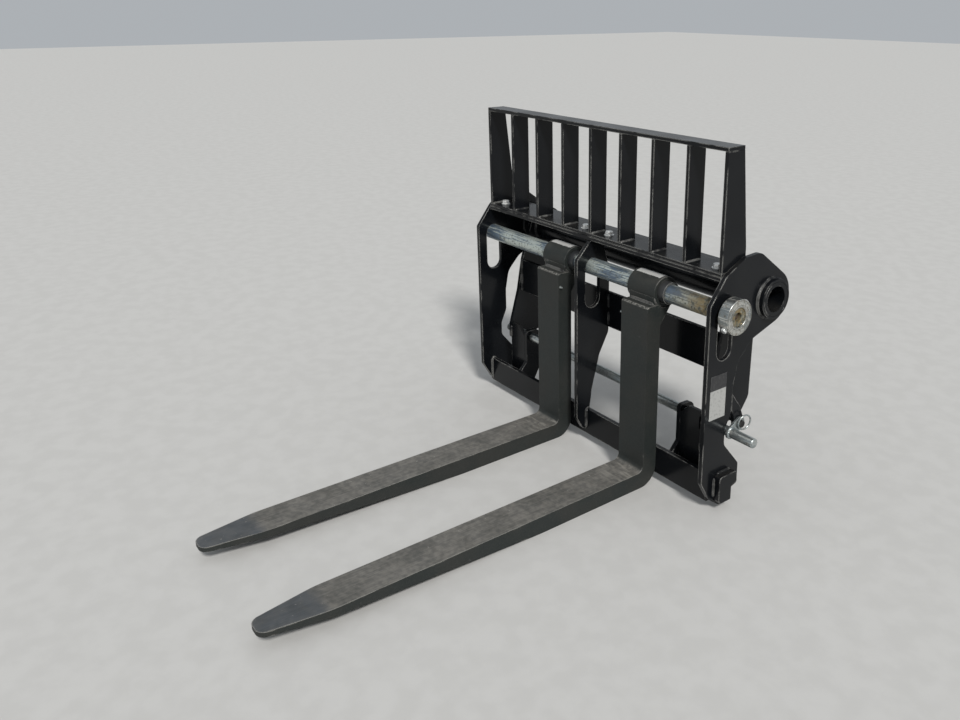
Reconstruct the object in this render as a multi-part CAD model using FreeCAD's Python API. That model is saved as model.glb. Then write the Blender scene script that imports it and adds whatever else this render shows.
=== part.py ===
import FreeCAD, Part
import math
import os

# Floating fork carriage of a telehandler, parked on its own.
# The forks lie flat on the ground and the carriage hangs on their shaft.
# X across the machine, Y from the fork tips to the machine, Z up.
# Y sizes below start at the front faces of the fork shanks, Z sizes GROUND_Z below
# the ground, X sizes at the middle of the carriage. All sizes are in millimetres.
# The finished pieces are placed with the origin in the middle of the pick-up tube.

os.makedirs("parts", exist_ok=True)

# Gaps between pieces
REST_GAP = 0.4
RUNNING_GAP = 0.06

# Carriage frame
CARRIAGE_W = 1170.0
SIDE_T = 15.0
CENTRE_T = 15.0
FRONT_Y = 14.0

# Fork
GROUND_Z = 6.0
FORK_W = 115.0
FORK_T = 55.0
BLADE_LENGTH = 1200.0
TIP_T = 14.0
TIP_W = 62.0
TIP_CORNER_R = 26.0
TIP_SHOULDER_R = 260.0
TIP_TAPER_LENGTH = 170.0
UNDER_TAPER_LENGTH = 800.0
HEEL_R = 62.0
HEEL_INNER_R = 22.0
SHANK_HEIGHT = 600.0
SHANK_CHAMFER = 5.0
FORK_LEFT_X = -132.0
FORK_RIGHT_X = 295.0

# Float shaft, its bushes and the fork eyes
SHAFT_Y = 79.0
SHAFT_Z = 639.0
SHAFT_R = 28.0
SHAFT_LEFT_END = 4.0
BUSH_WALL = 6.0
EYE_WALL = 13.0
EYE_LENGTH = 120.0
EYE_OFFSET = -9.0
BUSH_LEFT_REACH = 6.0
BUSH_RIGHT_REACH = 24.0
COLLAR_R = 52.0
COLLAR_T = 34.0
COLLAR_STANDOFF = 15.0
SHAFT_SET_IN = 5.0
SHAFT_RECESS_R = 13.0
SHAFT_RECESS_DEPTH = 12.0
STOP_RING_R = 38.0
STOP_RING_T = 16.0
STOP_RING_STANDOFF = 3.0

# Saddle on the shank's top and fork neck behind it, which carry the eye
SADDLE_DEPTH = 22.0
NECK_FOOT_Z = 526.0
NECK_REAR_Y = 122.0
NECK_HEEL_Y = 104.0

# Float slot in the side and centre plates
SLOT_REST_GAP = 0.3
SLOT_SIDE_GAP = 3.0
SLOT_LENGTH = 171.0

# Pick-up tube at the top rear, hooked by the machine
TUBE_Y = 272.0
TUBE_Z = 643.0
TUBE_R = 52.0
TUBE_BORE_R = 39.0
EAR_R = 84.0
BOSS_R = 60.0
BOSS_T = 20.0

# Hitch cheeks inboard of the side plates
HOOK_GAP = 60.5
CHEEK_T = 15.0
CHEEK_RIM_R = 76.0

# Locking bar across the lower rear, and the lugs it runs through
BAR_R = 15.0
BAR_Y = 125.0
BAR_Z = 255.0
BAR_CHAMFER = 3.0
BAR_LEFT_INSET = 40.0
BAR_RIGHT_REACH = 96.0
BAR_HOLE_GAP = 0.5
LOCK_POCKET_W = 85.0
LUG_T = 15.0
LUG_FRONT_Y = 97.0
LUG_REAR_Y = 158.0
LUG_TOP_Z = 284.0
LUG_FOOT_Z = 60.0
GUARD_T = 12.0
GUARD_FOOT_Z = 110.0
GUARD_TOP_Z = 295.0
GUARD_SLOPE_W = 36.0
GUARD_SLOPE_H = 33.0

# Retaining tab of the locking bar, its keeper and its linch pin
TAB_T = 8.0
TAB_GAP = 1.0
TAB_Y = 161.0
TAB_Z = 275.0
TAB_EYE_R = 20.0
TAB_HOLE_R = 9.0
LINCH_R = 5.0
LINCH_LENGTH = 52.0
LINCH_HEAD_R = 11.0
LINCH_HEAD_T = 9.0
KEEPER_REACH = 22.0

# Top plate, lower beam and rear wall
TOP_PLATE_T = 12.0
TOP_PLATE_Z = 728.0
TOP_PLATE_FRONT_Y = 66.0
TOP_PLATE_REAR_Y = 214.0
BEAM_T = 15.0
BEAM_TOP_Z = 132.0
BEAM_BOTTOM_Z = 39.0
WALL_T = 12.0
WALL_FRONT_Y = 152.0
WALL_BOTTOM_Z = 410.0
WALL_TOP_Z = 534.0

# Foot blocks on the outer faces of the side plates
BLOCK_T = 24.0
BLOCK_FRONT_Y = 68.0
BLOCK_TOP_Z = 130.0
BLOCK_LOW_Z = 40.0
BLOCK_REAR_Y = 122.0

# Toe of the side plates and foot blocks
TOE_Z = 18.0
TOE_FRONT_Y = 96.0
TOE_REAR_Y = 147.0
TOE_STEP_Z = 59.0

# Load backrest
REST_SIDE_GAP = 1.0
REST_BASE_T = 10.0
REST_BASE_FRONT_Y = 68.0
REST_BASE_REAR_Y = 168.0
REST_TOP_Z = 1098.0
RAIL_DEPTH = 66.0
RAIL_T = 12.0
REST_FRONT_Y = 70.0
REST_BAR_T = 12.0
REST_BAR_COUNT = 7
REST_END_FOOT_H = 60.0
REST_END_FOOT_Y = 166.0

# Label plate on the right side plate
LABEL_T = 1.0
LABEL_Y = 64.0
LABEL_Z = 387.0
LABEL_W = 66.0
LABEL_H = 138.0

SIDE_OUT_X = CARRIAGE_W / 2
SIDE_IN_X = SIDE_OUT_X - SIDE_T
CHEEK_X = SIDE_IN_X - HOOK_GAP - CHEEK_T / 2
LUG_X = CHEEK_X - CHEEK_T / 2 - LOCK_POCKET_W - LUG_T / 2
BAR_LEFT_X = BAR_LEFT_INSET - SIDE_OUT_X
BAR_RIGHT_X = SIDE_OUT_X + BAR_RIGHT_REACH
REST_HALF_W = SIDE_IN_X - REST_SIDE_GAP
REST_BASE_Z = TOP_PLATE_Z + TOP_PLATE_T
REST_BAR_Z = REST_BASE_Z + REST_BASE_T
RAIL_Z = REST_TOP_Z - RAIL_T
EYE_BORE_R = SHAFT_R + RUNNING_GAP + BUSH_WALL + RUNNING_GAP
EYE_R = EYE_BORE_R + EYE_WALL
SHANK_TOP_Z = GROUND_Z + SHANK_HEIGHT
SLOT_R = SHAFT_R + SLOT_SIDE_GAP
SLOT_TOP_Z = SHAFT_Z + SHAFT_R + SLOT_REST_GAP
SLOT_BOTTOM_Z = SLOT_TOP_Z - SLOT_LENGTH
BEAM_FRONT_Y = FORK_T + REST_GAP
BEAM_REAR_Y = BEAM_FRONT_Y + BEAM_T

# Outlines are corners in Y and Z, each with the radius that rounds it

# Side plate from the toe round the front and the top to the ear
SIDE_FRONT_OUTLINE = [
    (TOE_REAR_Y, TOE_Z, 4.0),
    (TOE_FRONT_Y, TOE_Z, 10.0),
    (51.0, 53.0, 30.0),
    (FRONT_Y, 118.0, 14.0),
    (FRONT_Y, 668.0, 14.0),
    (74.0, 746.0, 30.0),
    (150.0, 786.0, 30.0),
    (216.0, 790.0, 40.0),
]

# Side plate from under the ear down the rear to the toe
SIDE_REAR_OUTLINE = [
    (196.0, 530.0, 60.0),
    (143.0, 474.0, 60.0),
    (128.0, 400.0, 40.0),
    (128.0, 320.0, 40.0),
    (104.0, 268.0, 30.0),
    (104.0, 220.0, 30.0),
    (173.0, 136.0, 16.0),
    (174.0, 68.0, 8.0),
    (TOE_REAR_Y, TOE_STEP_Z, 4.0),
]

# Centre plate
CENTRE_OUTLINE = [
    (BEAM_FRONT_Y, 56.0, 0.0),
    (40.0, 62.0, 16.0),
    (FRONT_Y, 108.0, 16.0),
    (FRONT_Y, 668.0, 14.0),
    (72.0, TOP_PLATE_Z, 0.0),
    (122.0, TOP_PLATE_Z, 0.0),
    (WALL_FRONT_Y, 614.0, 40.0),
    (WALL_FRONT_Y, 394.0, 40.0),
    (112.0, 320.0, 40.0),
    (80.0, 200.0, 30.0),
    (BEAM_REAR_Y, BEAM_TOP_Z, 0.0),
    (BEAM_FRONT_Y, BEAM_TOP_Z, 0.0),
]

# Hitch cheek below its rim, from the rear of the pick-up tube to its front
CHEEK_OUTLINE = [
    (158.0, 534.0, 60.0),
    (136.0, 414.0, 60.0),
    (98.0, 284.0, 12.0),
    (98.0, 232.0, 12.0),
    (116.0, 220.0, 10.0),
    (150.0, 220.0, 30.0),
    (262.0, 246.0, 40.0),
    (296.0, 294.0, 40.0),
    (300.0, 520.0, 60.0),
]

# Lug of the locking bar
LUG_OUTLINE = [
    (BEAM_REAR_Y, LUG_FOOT_Z, 0.0),
    (BEAM_REAR_Y, BEAM_TOP_Z, 0.0),
    (LUG_FRONT_Y, BEAM_TOP_Z + 30.0, 10.0),
    (LUG_FRONT_Y, LUG_TOP_Z, 12.0),
    (LUG_REAR_Y, LUG_TOP_Z, 24.0),
    (LUG_REAR_Y, 130.0, 30.0),
    (118.0, LUG_FOOT_Z, 20.0),
]

# Foot block
BLOCK_OUTLINE = [
    (BLOCK_FRONT_Y + 8.0, BLOCK_LOW_Z, 6.0),
    (BLOCK_FRONT_Y, BLOCK_LOW_Z + 12.0, 6.0),
    (BLOCK_FRONT_Y, BLOCK_TOP_Z, 12.0),
    (BLOCK_REAR_Y + 18.0, BLOCK_TOP_Z, 6.0),
    (BLOCK_REAR_Y + 24.0, TOE_STEP_Z + 35.0, 6.0),
    (BLOCK_REAR_Y, TOE_STEP_Z + 25.0, 4.0),
    (BLOCK_REAR_Y, BLOCK_LOW_Z, 4.0),
]

# Sides of the machine: name, direction along X
SIDES = [
    ("left", -1),
    ("right", 1),
]

# Forks: name, middle of the fork in X
FORKS = [
    ("left", FORK_LEFT_X),
    ("right", FORK_RIGHT_X),
]


def save(shape, node):
    # one piece, checked and placed before it is written
    if not shape.isValid():
        raise ValueError(node + " is not a valid shape")
    placed = shape.translated(FreeCAD.Vector(0, -TUBE_Y, -TUBE_Z))
    placed.exportStep("parts/" + node + ".step")


def unit(start, end):
    # direction from one point to the next
    step = end - start
    return step.normalize()


def corner_arc(before, corner, after, radius):
    # arc that rounds one corner, with its two ends
    to_before = unit(corner, before)
    to_after = unit(corner, after)
    half_angle = to_before.getAngle(to_after) / 2
    run = radius / math.tan(half_angle)
    bisector = (to_before + to_after).normalize()
    start = corner + to_before * run
    end = corner + to_after * run
    middle = corner + bisector * (radius / math.sin(half_angle) - radius)
    return start, middle, end


def rounded_edges(corners):
    # closed chain of lines and arcs through corners given as (point, radius)
    edges = []
    ends = []
    count = len(corners)
    for index in range(count):
        before = corners[index - 1][0]
        point, radius = corners[index]
        after = corners[(index + 1) % count][0]
        if radius > 0:
            start, middle, end = corner_arc(before, point, after, radius)
            edges.append(Part.Arc(start, middle, end).toShape())
        else:
            start = point
            end = point
        ends.append((start, end))
    for index in range(count):
        line_start = ends[index - 1][1]
        line_end = ends[index][0]
        if line_start.distanceToPoint(line_end) > 1e-6:
            edges.append(Part.makeLine(line_start, line_end))
    return edges


def outline_face(corners):
    # flat face inside a closed chain of rounded corners
    chain = Part.__sortEdges__(rounded_edges(corners))
    return Part.Face(Part.Wire(chain))


def plate(outline, x_start, thickness):
    # flat plate with a rounded Y, Z outline
    corners = [(FreeCAD.Vector(x_start, y, z), radius) for y, z, radius in outline]
    return outline_face(corners).extrude(FreeCAD.Vector(thickness, 0, 0))


def block(x_start, x_end, y_start, y_end, z_start, z_end):
    # straight bar or plate between six planes
    corner = FreeCAD.Vector(x_start, y_start, z_start)
    return Part.makeBox(x_end - x_start, y_end - y_start, z_end - z_start, corner)


def rod(radius, x_start, x_end, y, z):
    # round bar along X
    start = FreeCAD.Vector(x_start, y, z)
    return Part.makeCylinder(radius, x_end - x_start, start, FreeCAD.Vector(1, 0, 0))


def cone(start_r, end_r, x_start, x_end, y, z):
    # tapered round bar along X
    start = FreeCAD.Vector(x_start, y, z)
    return Part.makeCone(start_r, end_r, x_end - x_start, start, FreeCAD.Vector(1, 0, 0))


def ring(outer_r, inner_r, x_start, x_end, y, z):
    # tube or ring along X
    return rod(outer_r, x_start, x_end, y, z).cut(rod(inner_r, x_start, x_end, y, z))


def near_x(direction, inner_x, thickness):
    # lower X of a plate whose inner face is inner_x away from the middle
    return inner_x if direction > 0 else -inner_x - thickness


def tangent_point(y, z, radius, side):
    # where a line from (y, z) touches a circle round the pick-up tube
    away = math.hypot(y - TUBE_Y, z - TUBE_Z)
    toward = math.atan2(z - TUBE_Z, y - TUBE_Y)
    angle = toward + side * math.acos(radius / away)
    return TUBE_Y + radius * math.cos(angle), TUBE_Z + radius * math.sin(angle), 0.0


def slot_cut(x_start, x_end):
    # upright float slot with round ends
    low_z = SLOT_BOTTOM_Z + SLOT_R
    high_z = SLOT_TOP_Z - SHAFT_R - SLOT_REST_GAP
    low = rod(SLOT_R, x_start, x_end, SHAFT_Y, low_z)
    high = rod(SHAFT_R + SLOT_REST_GAP, x_start, x_end, SHAFT_Y, high_z)
    shoulder_z = high_z - SLOT_SIDE_GAP
    middle = block(x_start, x_end, SHAFT_Y - SLOT_R, SHAFT_Y + SLOT_R, low_z, shoulder_z)
    return low.fuse([high, middle]).removeSplitter()


def side_plate(direction):
    # outer plate with the float slot and the ear for the pick-up tube
    x_start = near_x(direction, SIDE_IN_X, SIDE_T)
    x_end = x_start + SIDE_T
    top = SIDE_FRONT_OUTLINE[-1]
    under = SIDE_REAR_OUTLINE[0]
    ear = [
        tangent_point(top[0], top[1], EAR_R, -1),
        (TUBE_Y, TUBE_Z, 0.0),
        tangent_point(under[0], under[1], EAR_R, 1),
    ]
    body = plate(SIDE_FRONT_OUTLINE + ear + SIDE_REAR_OUTLINE, x_start, SIDE_T)
    body = body.fuse(rod(EAR_R, x_start, x_end, TUBE_Y, TUBE_Z)).removeSplitter()
    bore = rod(TUBE_R, x_start, x_end, TUBE_Y, TUBE_Z)
    return body.cut([slot_cut(x_start, x_end), bore])


def centre_plate():
    # middle plate between the forks, with its own float slot, set over the beam
    x_start = -CENTRE_T / 2
    x_end = CENTRE_T / 2
    body = plate(CENTRE_OUTLINE, x_start, CENTRE_T)
    return body.cut(slot_cut(x_start, x_end))


def hitch_cheek(direction):
    # inboard plate that carries the pick-up tube and the locking bar
    x_start = near_x(direction, CHEEK_X - CHEEK_T / 2, CHEEK_T)
    x_end = x_start + CHEEK_T
    front = CHEEK_OUTLINE[0]
    rear = CHEEK_OUTLINE[-1]
    rim = [
        tangent_point(rear[0], rear[1], CHEEK_RIM_R, 1),
        (TUBE_Y, TUBE_Z, 0.0),
        tangent_point(front[0], front[1], CHEEK_RIM_R, -1),
    ]
    body = plate(CHEEK_OUTLINE + rim, x_start, CHEEK_T)
    body = body.fuse(rod(CHEEK_RIM_R, x_start, x_end, TUBE_Y, TUBE_Z)).removeSplitter()
    tube = rod(TUBE_R, x_start, x_end, TUBE_Y, TUBE_Z)
    return body.cut([tube, bar_hole(x_start, x_end)])


def bar_hole(x_start, x_end):
    # clearance hole for the locking bar
    return rod(BAR_R + BAR_HOLE_GAP, x_start, x_end, BAR_Y, BAR_Z)


def lock_lug(direction):
    # lower lug that the locking bar runs through, welded behind the beam
    x_start = near_x(direction, LUG_X - LUG_T / 2, LUG_T)
    return plate(LUG_OUTLINE, x_start, LUG_T).cut(bar_hole(x_start, x_start + LUG_T))


def lock_guard(direction):
    # front plate of the lock pocket, between the lug and the cheek
    inner_x = LUG_X + LUG_T / 2
    outer_x = CHEEK_X - CHEEK_T / 2
    # X from the middle, Z, radius
    outline = [
        (inner_x, GUARD_FOOT_Z, 0.0),
        (inner_x, GUARD_TOP_Z - GUARD_SLOPE_H, 8.0),
        (inner_x + GUARD_SLOPE_W, GUARD_TOP_Z, 8.0),
        (outer_x, GUARD_TOP_Z, 0.0),
        (outer_x, GUARD_FOOT_Z, 0.0),
    ]
    corners = [(FreeCAD.Vector(direction * x, LUG_FRONT_Y, z), r) for x, z, r in outline]
    return outline_face(corners).extrude(FreeCAD.Vector(0, GUARD_T, 0))


def top_plate():
    # flat plate between the side plates, under the backrest
    return block(-SIDE_IN_X, SIDE_IN_X, TOP_PLATE_FRONT_Y, TOP_PLATE_REAR_Y,
                 TOP_PLATE_Z, TOP_PLATE_Z + TOP_PLATE_T)


def lower_beam():
    # upright front plate that the fork shanks lean on
    return block(-SIDE_IN_X, SIDE_IN_X, BEAM_FRONT_Y, BEAM_REAR_Y, BEAM_BOTTOM_Z, BEAM_TOP_Z)


def rear_wall():
    # plate behind the float shaft, between the hitch cheeks
    half = CHEEK_X - CHEEK_T / 2
    return block(-half, half, WALL_FRONT_Y, WALL_FRONT_Y + WALL_T, WALL_BOTTOM_Z, WALL_TOP_Z)


def pickup_tube():
    # thick tube across the top rear, hooked by the machine
    return ring(TUBE_R, TUBE_BORE_R, -SIDE_OUT_X - BOSS_T, SIDE_OUT_X + BOSS_T, TUBE_Y, TUBE_Z)


def pickup_bosses():
    # rings welded round the tube ends on the outer faces
    solids = []
    for name, direction in SIDES:
        x_start = near_x(direction, SIDE_OUT_X, BOSS_T)
        solids.append(ring(BOSS_R, TUBE_R, x_start, x_start + BOSS_T, TUBE_Y, TUBE_Z))
    return Part.makeCompound(solids)


def foot_block(direction):
    # thick pad welded on the lower rear of the outer face
    return plate(BLOCK_OUTLINE, near_x(direction, SIDE_OUT_X, BLOCK_T), BLOCK_T)


def backrest_base():
    # foot plate of the backrest, bolted to the top plate
    return block(-REST_HALF_W, REST_HALF_W, REST_BASE_FRONT_Y, REST_BASE_REAR_Y,
                 REST_BASE_Z, REST_BAR_Z)


def backrest_rail():
    # flat bar along the top of the backrest
    return block(-REST_HALF_W, REST_HALF_W, REST_FRONT_Y, REST_FRONT_Y + RAIL_DEPTH,
                 RAIL_Z, REST_TOP_Z)


def backrest_bars():
    # upright flat bars, edge-on to the load, evenly spread between the end plates
    inner_w = 2 * (REST_HALF_W - REST_BAR_T)
    pitch = (inner_w + REST_BAR_T) / (REST_BAR_COUNT + 1)
    solids = []
    for number in range(REST_BAR_COUNT):
        x_start = (number + 1) * pitch - inner_w / 2 - REST_BAR_T
        solids.append(block(x_start, x_start + REST_BAR_T,
                            REST_FRONT_Y, REST_FRONT_Y + RAIL_DEPTH, REST_BAR_Z, RAIL_Z))
    return Part.makeCompound(solids)


def backrest_end(direction):
    # end plate of the backrest, wider at the foot
    outline = [
        (REST_FRONT_Y, REST_BAR_Z, 0.0),
        (REST_FRONT_Y, RAIL_Z, 0.0),
        (REST_FRONT_Y + RAIL_DEPTH, RAIL_Z, 0.0),
        (REST_END_FOOT_Y, REST_BAR_Z + REST_END_FOOT_H, 20.0),
        (REST_END_FOOT_Y, REST_BAR_Z, 0.0),
    ]
    return plate(outline, near_x(direction, REST_HALF_W - REST_BAR_T, REST_BAR_T), REST_BAR_T)


def float_shaft():
    # round shaft through the three slots, with a recess at the collar end
    x_end = SIDE_OUT_X + COLLAR_STANDOFF + COLLAR_T - SHAFT_SET_IN
    body = rod(SHAFT_R, -SIDE_OUT_X - SHAFT_LEFT_END, x_end, SHAFT_Y, SHAFT_Z)
    return body.cut(rod(SHAFT_RECESS_R, x_end - SHAFT_RECESS_DEPTH, x_end, SHAFT_Y, SHAFT_Z))


def shaft_collar():
    # retaining ring on the shaft outside the right side plate
    x_start = SIDE_OUT_X + COLLAR_STANDOFF
    return ring(COLLAR_R, SHAFT_R, x_start, x_start + COLLAR_T, SHAFT_Y, SHAFT_Z)


def shaft_stop_ring():
    # ring on the shaft inside the right side plate
    x_end = SIDE_IN_X - STOP_RING_STANDOFF
    return ring(STOP_RING_R, SHAFT_R, x_end - STOP_RING_T, x_end, SHAFT_Y, SHAFT_Z)


def eye_bush(middle):
    # bush inside the fork eye, which slides along the shaft
    x_start = middle + EYE_OFFSET - EYE_LENGTH / 2 - BUSH_LEFT_REACH
    x_end = middle + EYE_OFFSET + EYE_LENGTH / 2 + BUSH_RIGHT_REACH
    inner_r = SHAFT_R + RUNNING_GAP
    return ring(inner_r + BUSH_WALL, inner_r, x_start, x_end, SHAFT_Y, SHAFT_Z)


def fork_eye(middle):
    # tube at the top of the fork, set a little to one side of the shank
    x_start = middle + EYE_OFFSET - EYE_LENGTH / 2
    return ring(EYE_R, EYE_BORE_R, x_start, x_start + EYE_LENGTH, SHAFT_Y, SHAFT_Z)


def fork_side(middle):
    # blade and shank seen from the side, as one bent bar with its sole at height zero
    outline = [
        (-BLADE_LENGTH, FORK_T - TIP_T, 0.0),
        (-BLADE_LENGTH + UNDER_TAPER_LENGTH, 0.0, 600.0),
        (FORK_T, 0.0, HEEL_R),
        (FORK_T, SHANK_HEIGHT, 0.0),
        (SHANK_CHAMFER, SHANK_HEIGHT, 0.0),
        (0.0, SHANK_HEIGHT - SHANK_CHAMFER, 0.0),
        (0.0, FORK_T, HEEL_INNER_R),
        (-BLADE_LENGTH, FORK_T, 0.0),
    ]
    return plate(outline, middle - FORK_W / 2, FORK_W)


def fork_plan(middle):
    # blade seen from above, narrowed to the tip
    half = FORK_W / 2
    tip_half = TIP_W / 2
    taper_y = -BLADE_LENGTH + TIP_TAPER_LENGTH
    # X from the fork's middle, Y, radius
    outline = [
        (half, FORK_T, 0.0),
        (half, taper_y, TIP_SHOULDER_R),
        (tip_half, -BLADE_LENGTH, TIP_CORNER_R),
        (-tip_half, -BLADE_LENGTH, TIP_CORNER_R),
        (-half, taper_y, TIP_SHOULDER_R),
        (-half, FORK_T, 0.0),
    ]
    corners = [(FreeCAD.Vector(middle + x, y, 0), radius) for x, y, radius in outline]
    return outline_face(corners).extrude(FreeCAD.Vector(0, 0, SHANK_HEIGHT))


def eye_hollow(middle):
    # what the eye takes out of the pieces it is welded to
    return rod(EYE_R, middle - FORK_W, middle + FORK_W, SHAFT_Y, SHAFT_Z)


def fork_body(middle):
    # forged blade and shank, lying on the ground, with the saddle the eye sits in
    body = fork_side(middle).common(fork_plan(middle)).removeSplitter()
    body = body.translated(FreeCAD.Vector(0, 0, GROUND_Z))
    x_end = middle + EYE_OFFSET + EYE_LENGTH / 2
    saddle = block(middle - FORK_W / 2, x_end, FORK_T - SADDLE_DEPTH, FORK_T, NECK_FOOT_Z, SHAFT_Z)
    return body.fuse(saddle).cut(eye_hollow(middle)).removeSplitter()


def fork_neck(middle):
    # neck behind the shank, under the eye
    outline = [
        (FORK_T, NECK_FOOT_Z, 0.0),
        (FORK_T, SHAFT_Z, 0.0),
        (SHAFT_Y, SHAFT_Z, 0.0),
        (NECK_REAR_Y, SHAFT_Z - EYE_R * 0.4, 0.0),
        (NECK_HEEL_Y, SHANK_TOP_Z - 10.0, 20.0),
    ]
    x_start = middle - FORK_W / 2
    x_end = middle + EYE_OFFSET + EYE_LENGTH / 2
    return plate(outline, x_start, x_end - x_start).cut(eye_hollow(middle))


def lock_bar():
    # round bar that locks the carriage to the machine, chamfered at its ends
    shank = rod(BAR_R, BAR_LEFT_X + BAR_CHAMFER, BAR_RIGHT_X - BAR_CHAMFER, BAR_Y, BAR_Z)
    end_r = BAR_R - BAR_CHAMFER
    left = cone(end_r, BAR_R, BAR_LEFT_X, BAR_LEFT_X + BAR_CHAMFER, BAR_Y, BAR_Z)
    right = cone(BAR_R, end_r, BAR_RIGHT_X - BAR_CHAMFER, BAR_RIGHT_X, BAR_Y, BAR_Z)
    return shank.fuse([left, right]).removeSplitter()


def lock_tab():
    # tab welded on the bar, with an eye for the linch pin
    x_start = SIDE_OUT_X + TAB_GAP
    x_end = x_start + TAB_T
    reach = math.hypot(TAB_Y - BAR_Y, TAB_Z - BAR_Z)
    across_y = (TAB_Z - BAR_Z) / reach * TAB_EYE_R
    across_z = (BAR_Y - TAB_Y) / reach * TAB_EYE_R
    outline = [
        (BAR_Y + across_y, BAR_Z + across_z, 0.0),
        (TAB_Y + across_y, TAB_Z + across_z, 0.0),
        (TAB_Y - across_y, TAB_Z - across_z, 0.0),
        (BAR_Y - across_y, BAR_Z - across_z, 0.0),
    ]
    foot = rod(TAB_EYE_R, x_start, x_end, BAR_Y, BAR_Z)
    eye = rod(TAB_EYE_R, x_start, x_end, TAB_Y, TAB_Z)
    body = plate(outline, x_start, TAB_T).fuse([foot, eye]).removeSplitter()
    bar = rod(BAR_R, x_start, x_end, BAR_Y, BAR_Z)
    return body.cut([bar, rod(TAB_HOLE_R, x_start, x_end, TAB_Y, TAB_Z)])


def linch_pin():
    # pin through the tab and the keeper, with a round head
    head_x = SIDE_OUT_X + TAB_GAP + TAB_T
    shank = rod(LINCH_R, head_x - LINCH_LENGTH, head_x, TAB_Y, TAB_Z)
    head = rod(LINCH_HEAD_R, head_x, head_x + LINCH_HEAD_T, TAB_Y, TAB_Z)
    return shank.fuse(head).removeSplitter()


def lock_keeper():
    # lug on the rear edge of the right side plate, behind the tab
    outline = [
        (126.0, 330.0, 0.0),
        (126.0, 380.0, 0.0),
        (TAB_Y + 5.0, TAB_Z + 52.0, 20.0),
        (TAB_Y + KEEPER_REACH, TAB_Z + 12.0, 8.0),
        (TAB_Y + KEEPER_REACH, TAB_Z - 12.0, 8.0),
        (TAB_Y + 6.0, TAB_Z - KEEPER_REACH, 8.0),
        (TAB_Y - 12.0, TAB_Z - 10.0, 6.0),
        (TAB_Y - 19.0, TAB_Z + 21.0, 6.0),
    ]
    hole = rod(TAB_HOLE_R, SIDE_IN_X, SIDE_OUT_X, TAB_Y, TAB_Z)
    return plate(outline, SIDE_IN_X, SIDE_T).cut([hole, side_plate(1)])


def label_plate():
    # blank plate on the outer face of the right side plate
    return block(SIDE_OUT_X, SIDE_OUT_X + LABEL_T, LABEL_Y - LABEL_W / 2, LABEL_Y + LABEL_W / 2,
                 LABEL_Z - LABEL_H / 2, LABEL_Z + LABEL_H / 2)


# Pieces with one of a kind on each side: node, function
SIDE_PIECES = [
    ("side_plate", side_plate),
    ("hitch_cheek", hitch_cheek),
    ("lock_lug", lock_lug),
    ("lock_guard", lock_guard),
    ("foot_block", foot_block),
    ("backrest_end", backrest_end),
]

# Pieces of each fork: node, function
FORK_PIECES = [
    ("fork", fork_body),
    ("fork_neck", fork_neck),
    ("fork_eye", fork_eye),
    ("eye_bush", eye_bush),
]

# Pieces that there is one of: node, function
SINGLE_PIECES = [
    ("centre_plate", centre_plate),
    ("top_plate", top_plate),
    ("lower_beam", lower_beam),
    ("rear_wall", rear_wall),
    ("pickup_tube", pickup_tube),
    ("pickup_bosses", pickup_bosses),
    ("backrest_base", backrest_base),
    ("backrest_rail", backrest_rail),
    ("backrest_bars", backrest_bars),
    ("float_shaft", float_shaft),
    ("shaft_collar", shaft_collar),
    ("shaft_stop_ring", shaft_stop_ring),
    ("lock_bar", lock_bar),
    ("lock_tab", lock_tab),
    ("linch_pin", linch_pin),
    ("lock_keeper", lock_keeper),
    ("label_plate", label_plate),
]


def build():
    # every piece of the carriage, one file each
    for node, make in SIDE_PIECES:
        for name, direction in SIDES:
            save(make(direction), node + "_" + name)
    for node, make in FORK_PIECES:
        for name, middle in FORKS:
            save(make(middle), node + "_" + name)
    for node, make in SINGLE_PIECES:
        save(make(), node)


build()
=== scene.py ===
"""Looks of a floating fork carriage: rounded plates, welds, bolts, paint and steel.

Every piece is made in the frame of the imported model, in metres. Sizes in the classes
start where the object's own sizes start: X at the carriage's middle, Y at the front
faces of the fork shanks, Z a little under the ground. DATUM moves them to the frame's
origin.
"""

import logging
import math
from dataclasses import dataclass, field
from enum import Enum

import bmesh
import bpy
import numpy as np
from mathutils import Matrix, Vector


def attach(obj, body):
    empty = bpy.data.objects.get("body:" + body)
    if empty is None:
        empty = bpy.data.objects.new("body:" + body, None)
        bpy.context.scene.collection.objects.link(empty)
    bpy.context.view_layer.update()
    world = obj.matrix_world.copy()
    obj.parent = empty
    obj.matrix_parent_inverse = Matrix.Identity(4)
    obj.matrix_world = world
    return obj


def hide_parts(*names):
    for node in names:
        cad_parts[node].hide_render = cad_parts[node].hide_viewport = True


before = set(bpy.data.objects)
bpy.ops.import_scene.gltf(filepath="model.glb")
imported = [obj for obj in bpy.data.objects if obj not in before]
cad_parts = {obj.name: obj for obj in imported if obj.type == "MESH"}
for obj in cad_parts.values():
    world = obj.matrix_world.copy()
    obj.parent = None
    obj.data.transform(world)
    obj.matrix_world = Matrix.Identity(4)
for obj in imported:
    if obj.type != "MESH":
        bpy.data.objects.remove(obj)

LOG = logging.getLogger("fork_carriage")
MM = 0.001
DATUM = np.array([0.0, 0.272, 0.643])
GROUND = 0.006
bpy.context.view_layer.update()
Colour = tuple[float, float, float]


class Body(Enum):
    """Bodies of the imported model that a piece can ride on."""

    CARRIAGE = "carriage"
    SHAFT = "shaft"
    BUSH_LEFT = "bush_left"
    BUSH_RIGHT = "bush_right"
    FORK_LEFT = "fork_arm_left"
    FORK_RIGHT = "fork_arm_right"
    BAR = "locking_bar"


class Slot(Enum):
    """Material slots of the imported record."""

    PAINT = "carriage_paint"
    FORK = "fork_steel"
    BUSH = "bush_steel"
    SHAFT = "shaft_steel"
    ZINC = "zinc"
    LABEL = "label"


# Node trees


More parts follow.
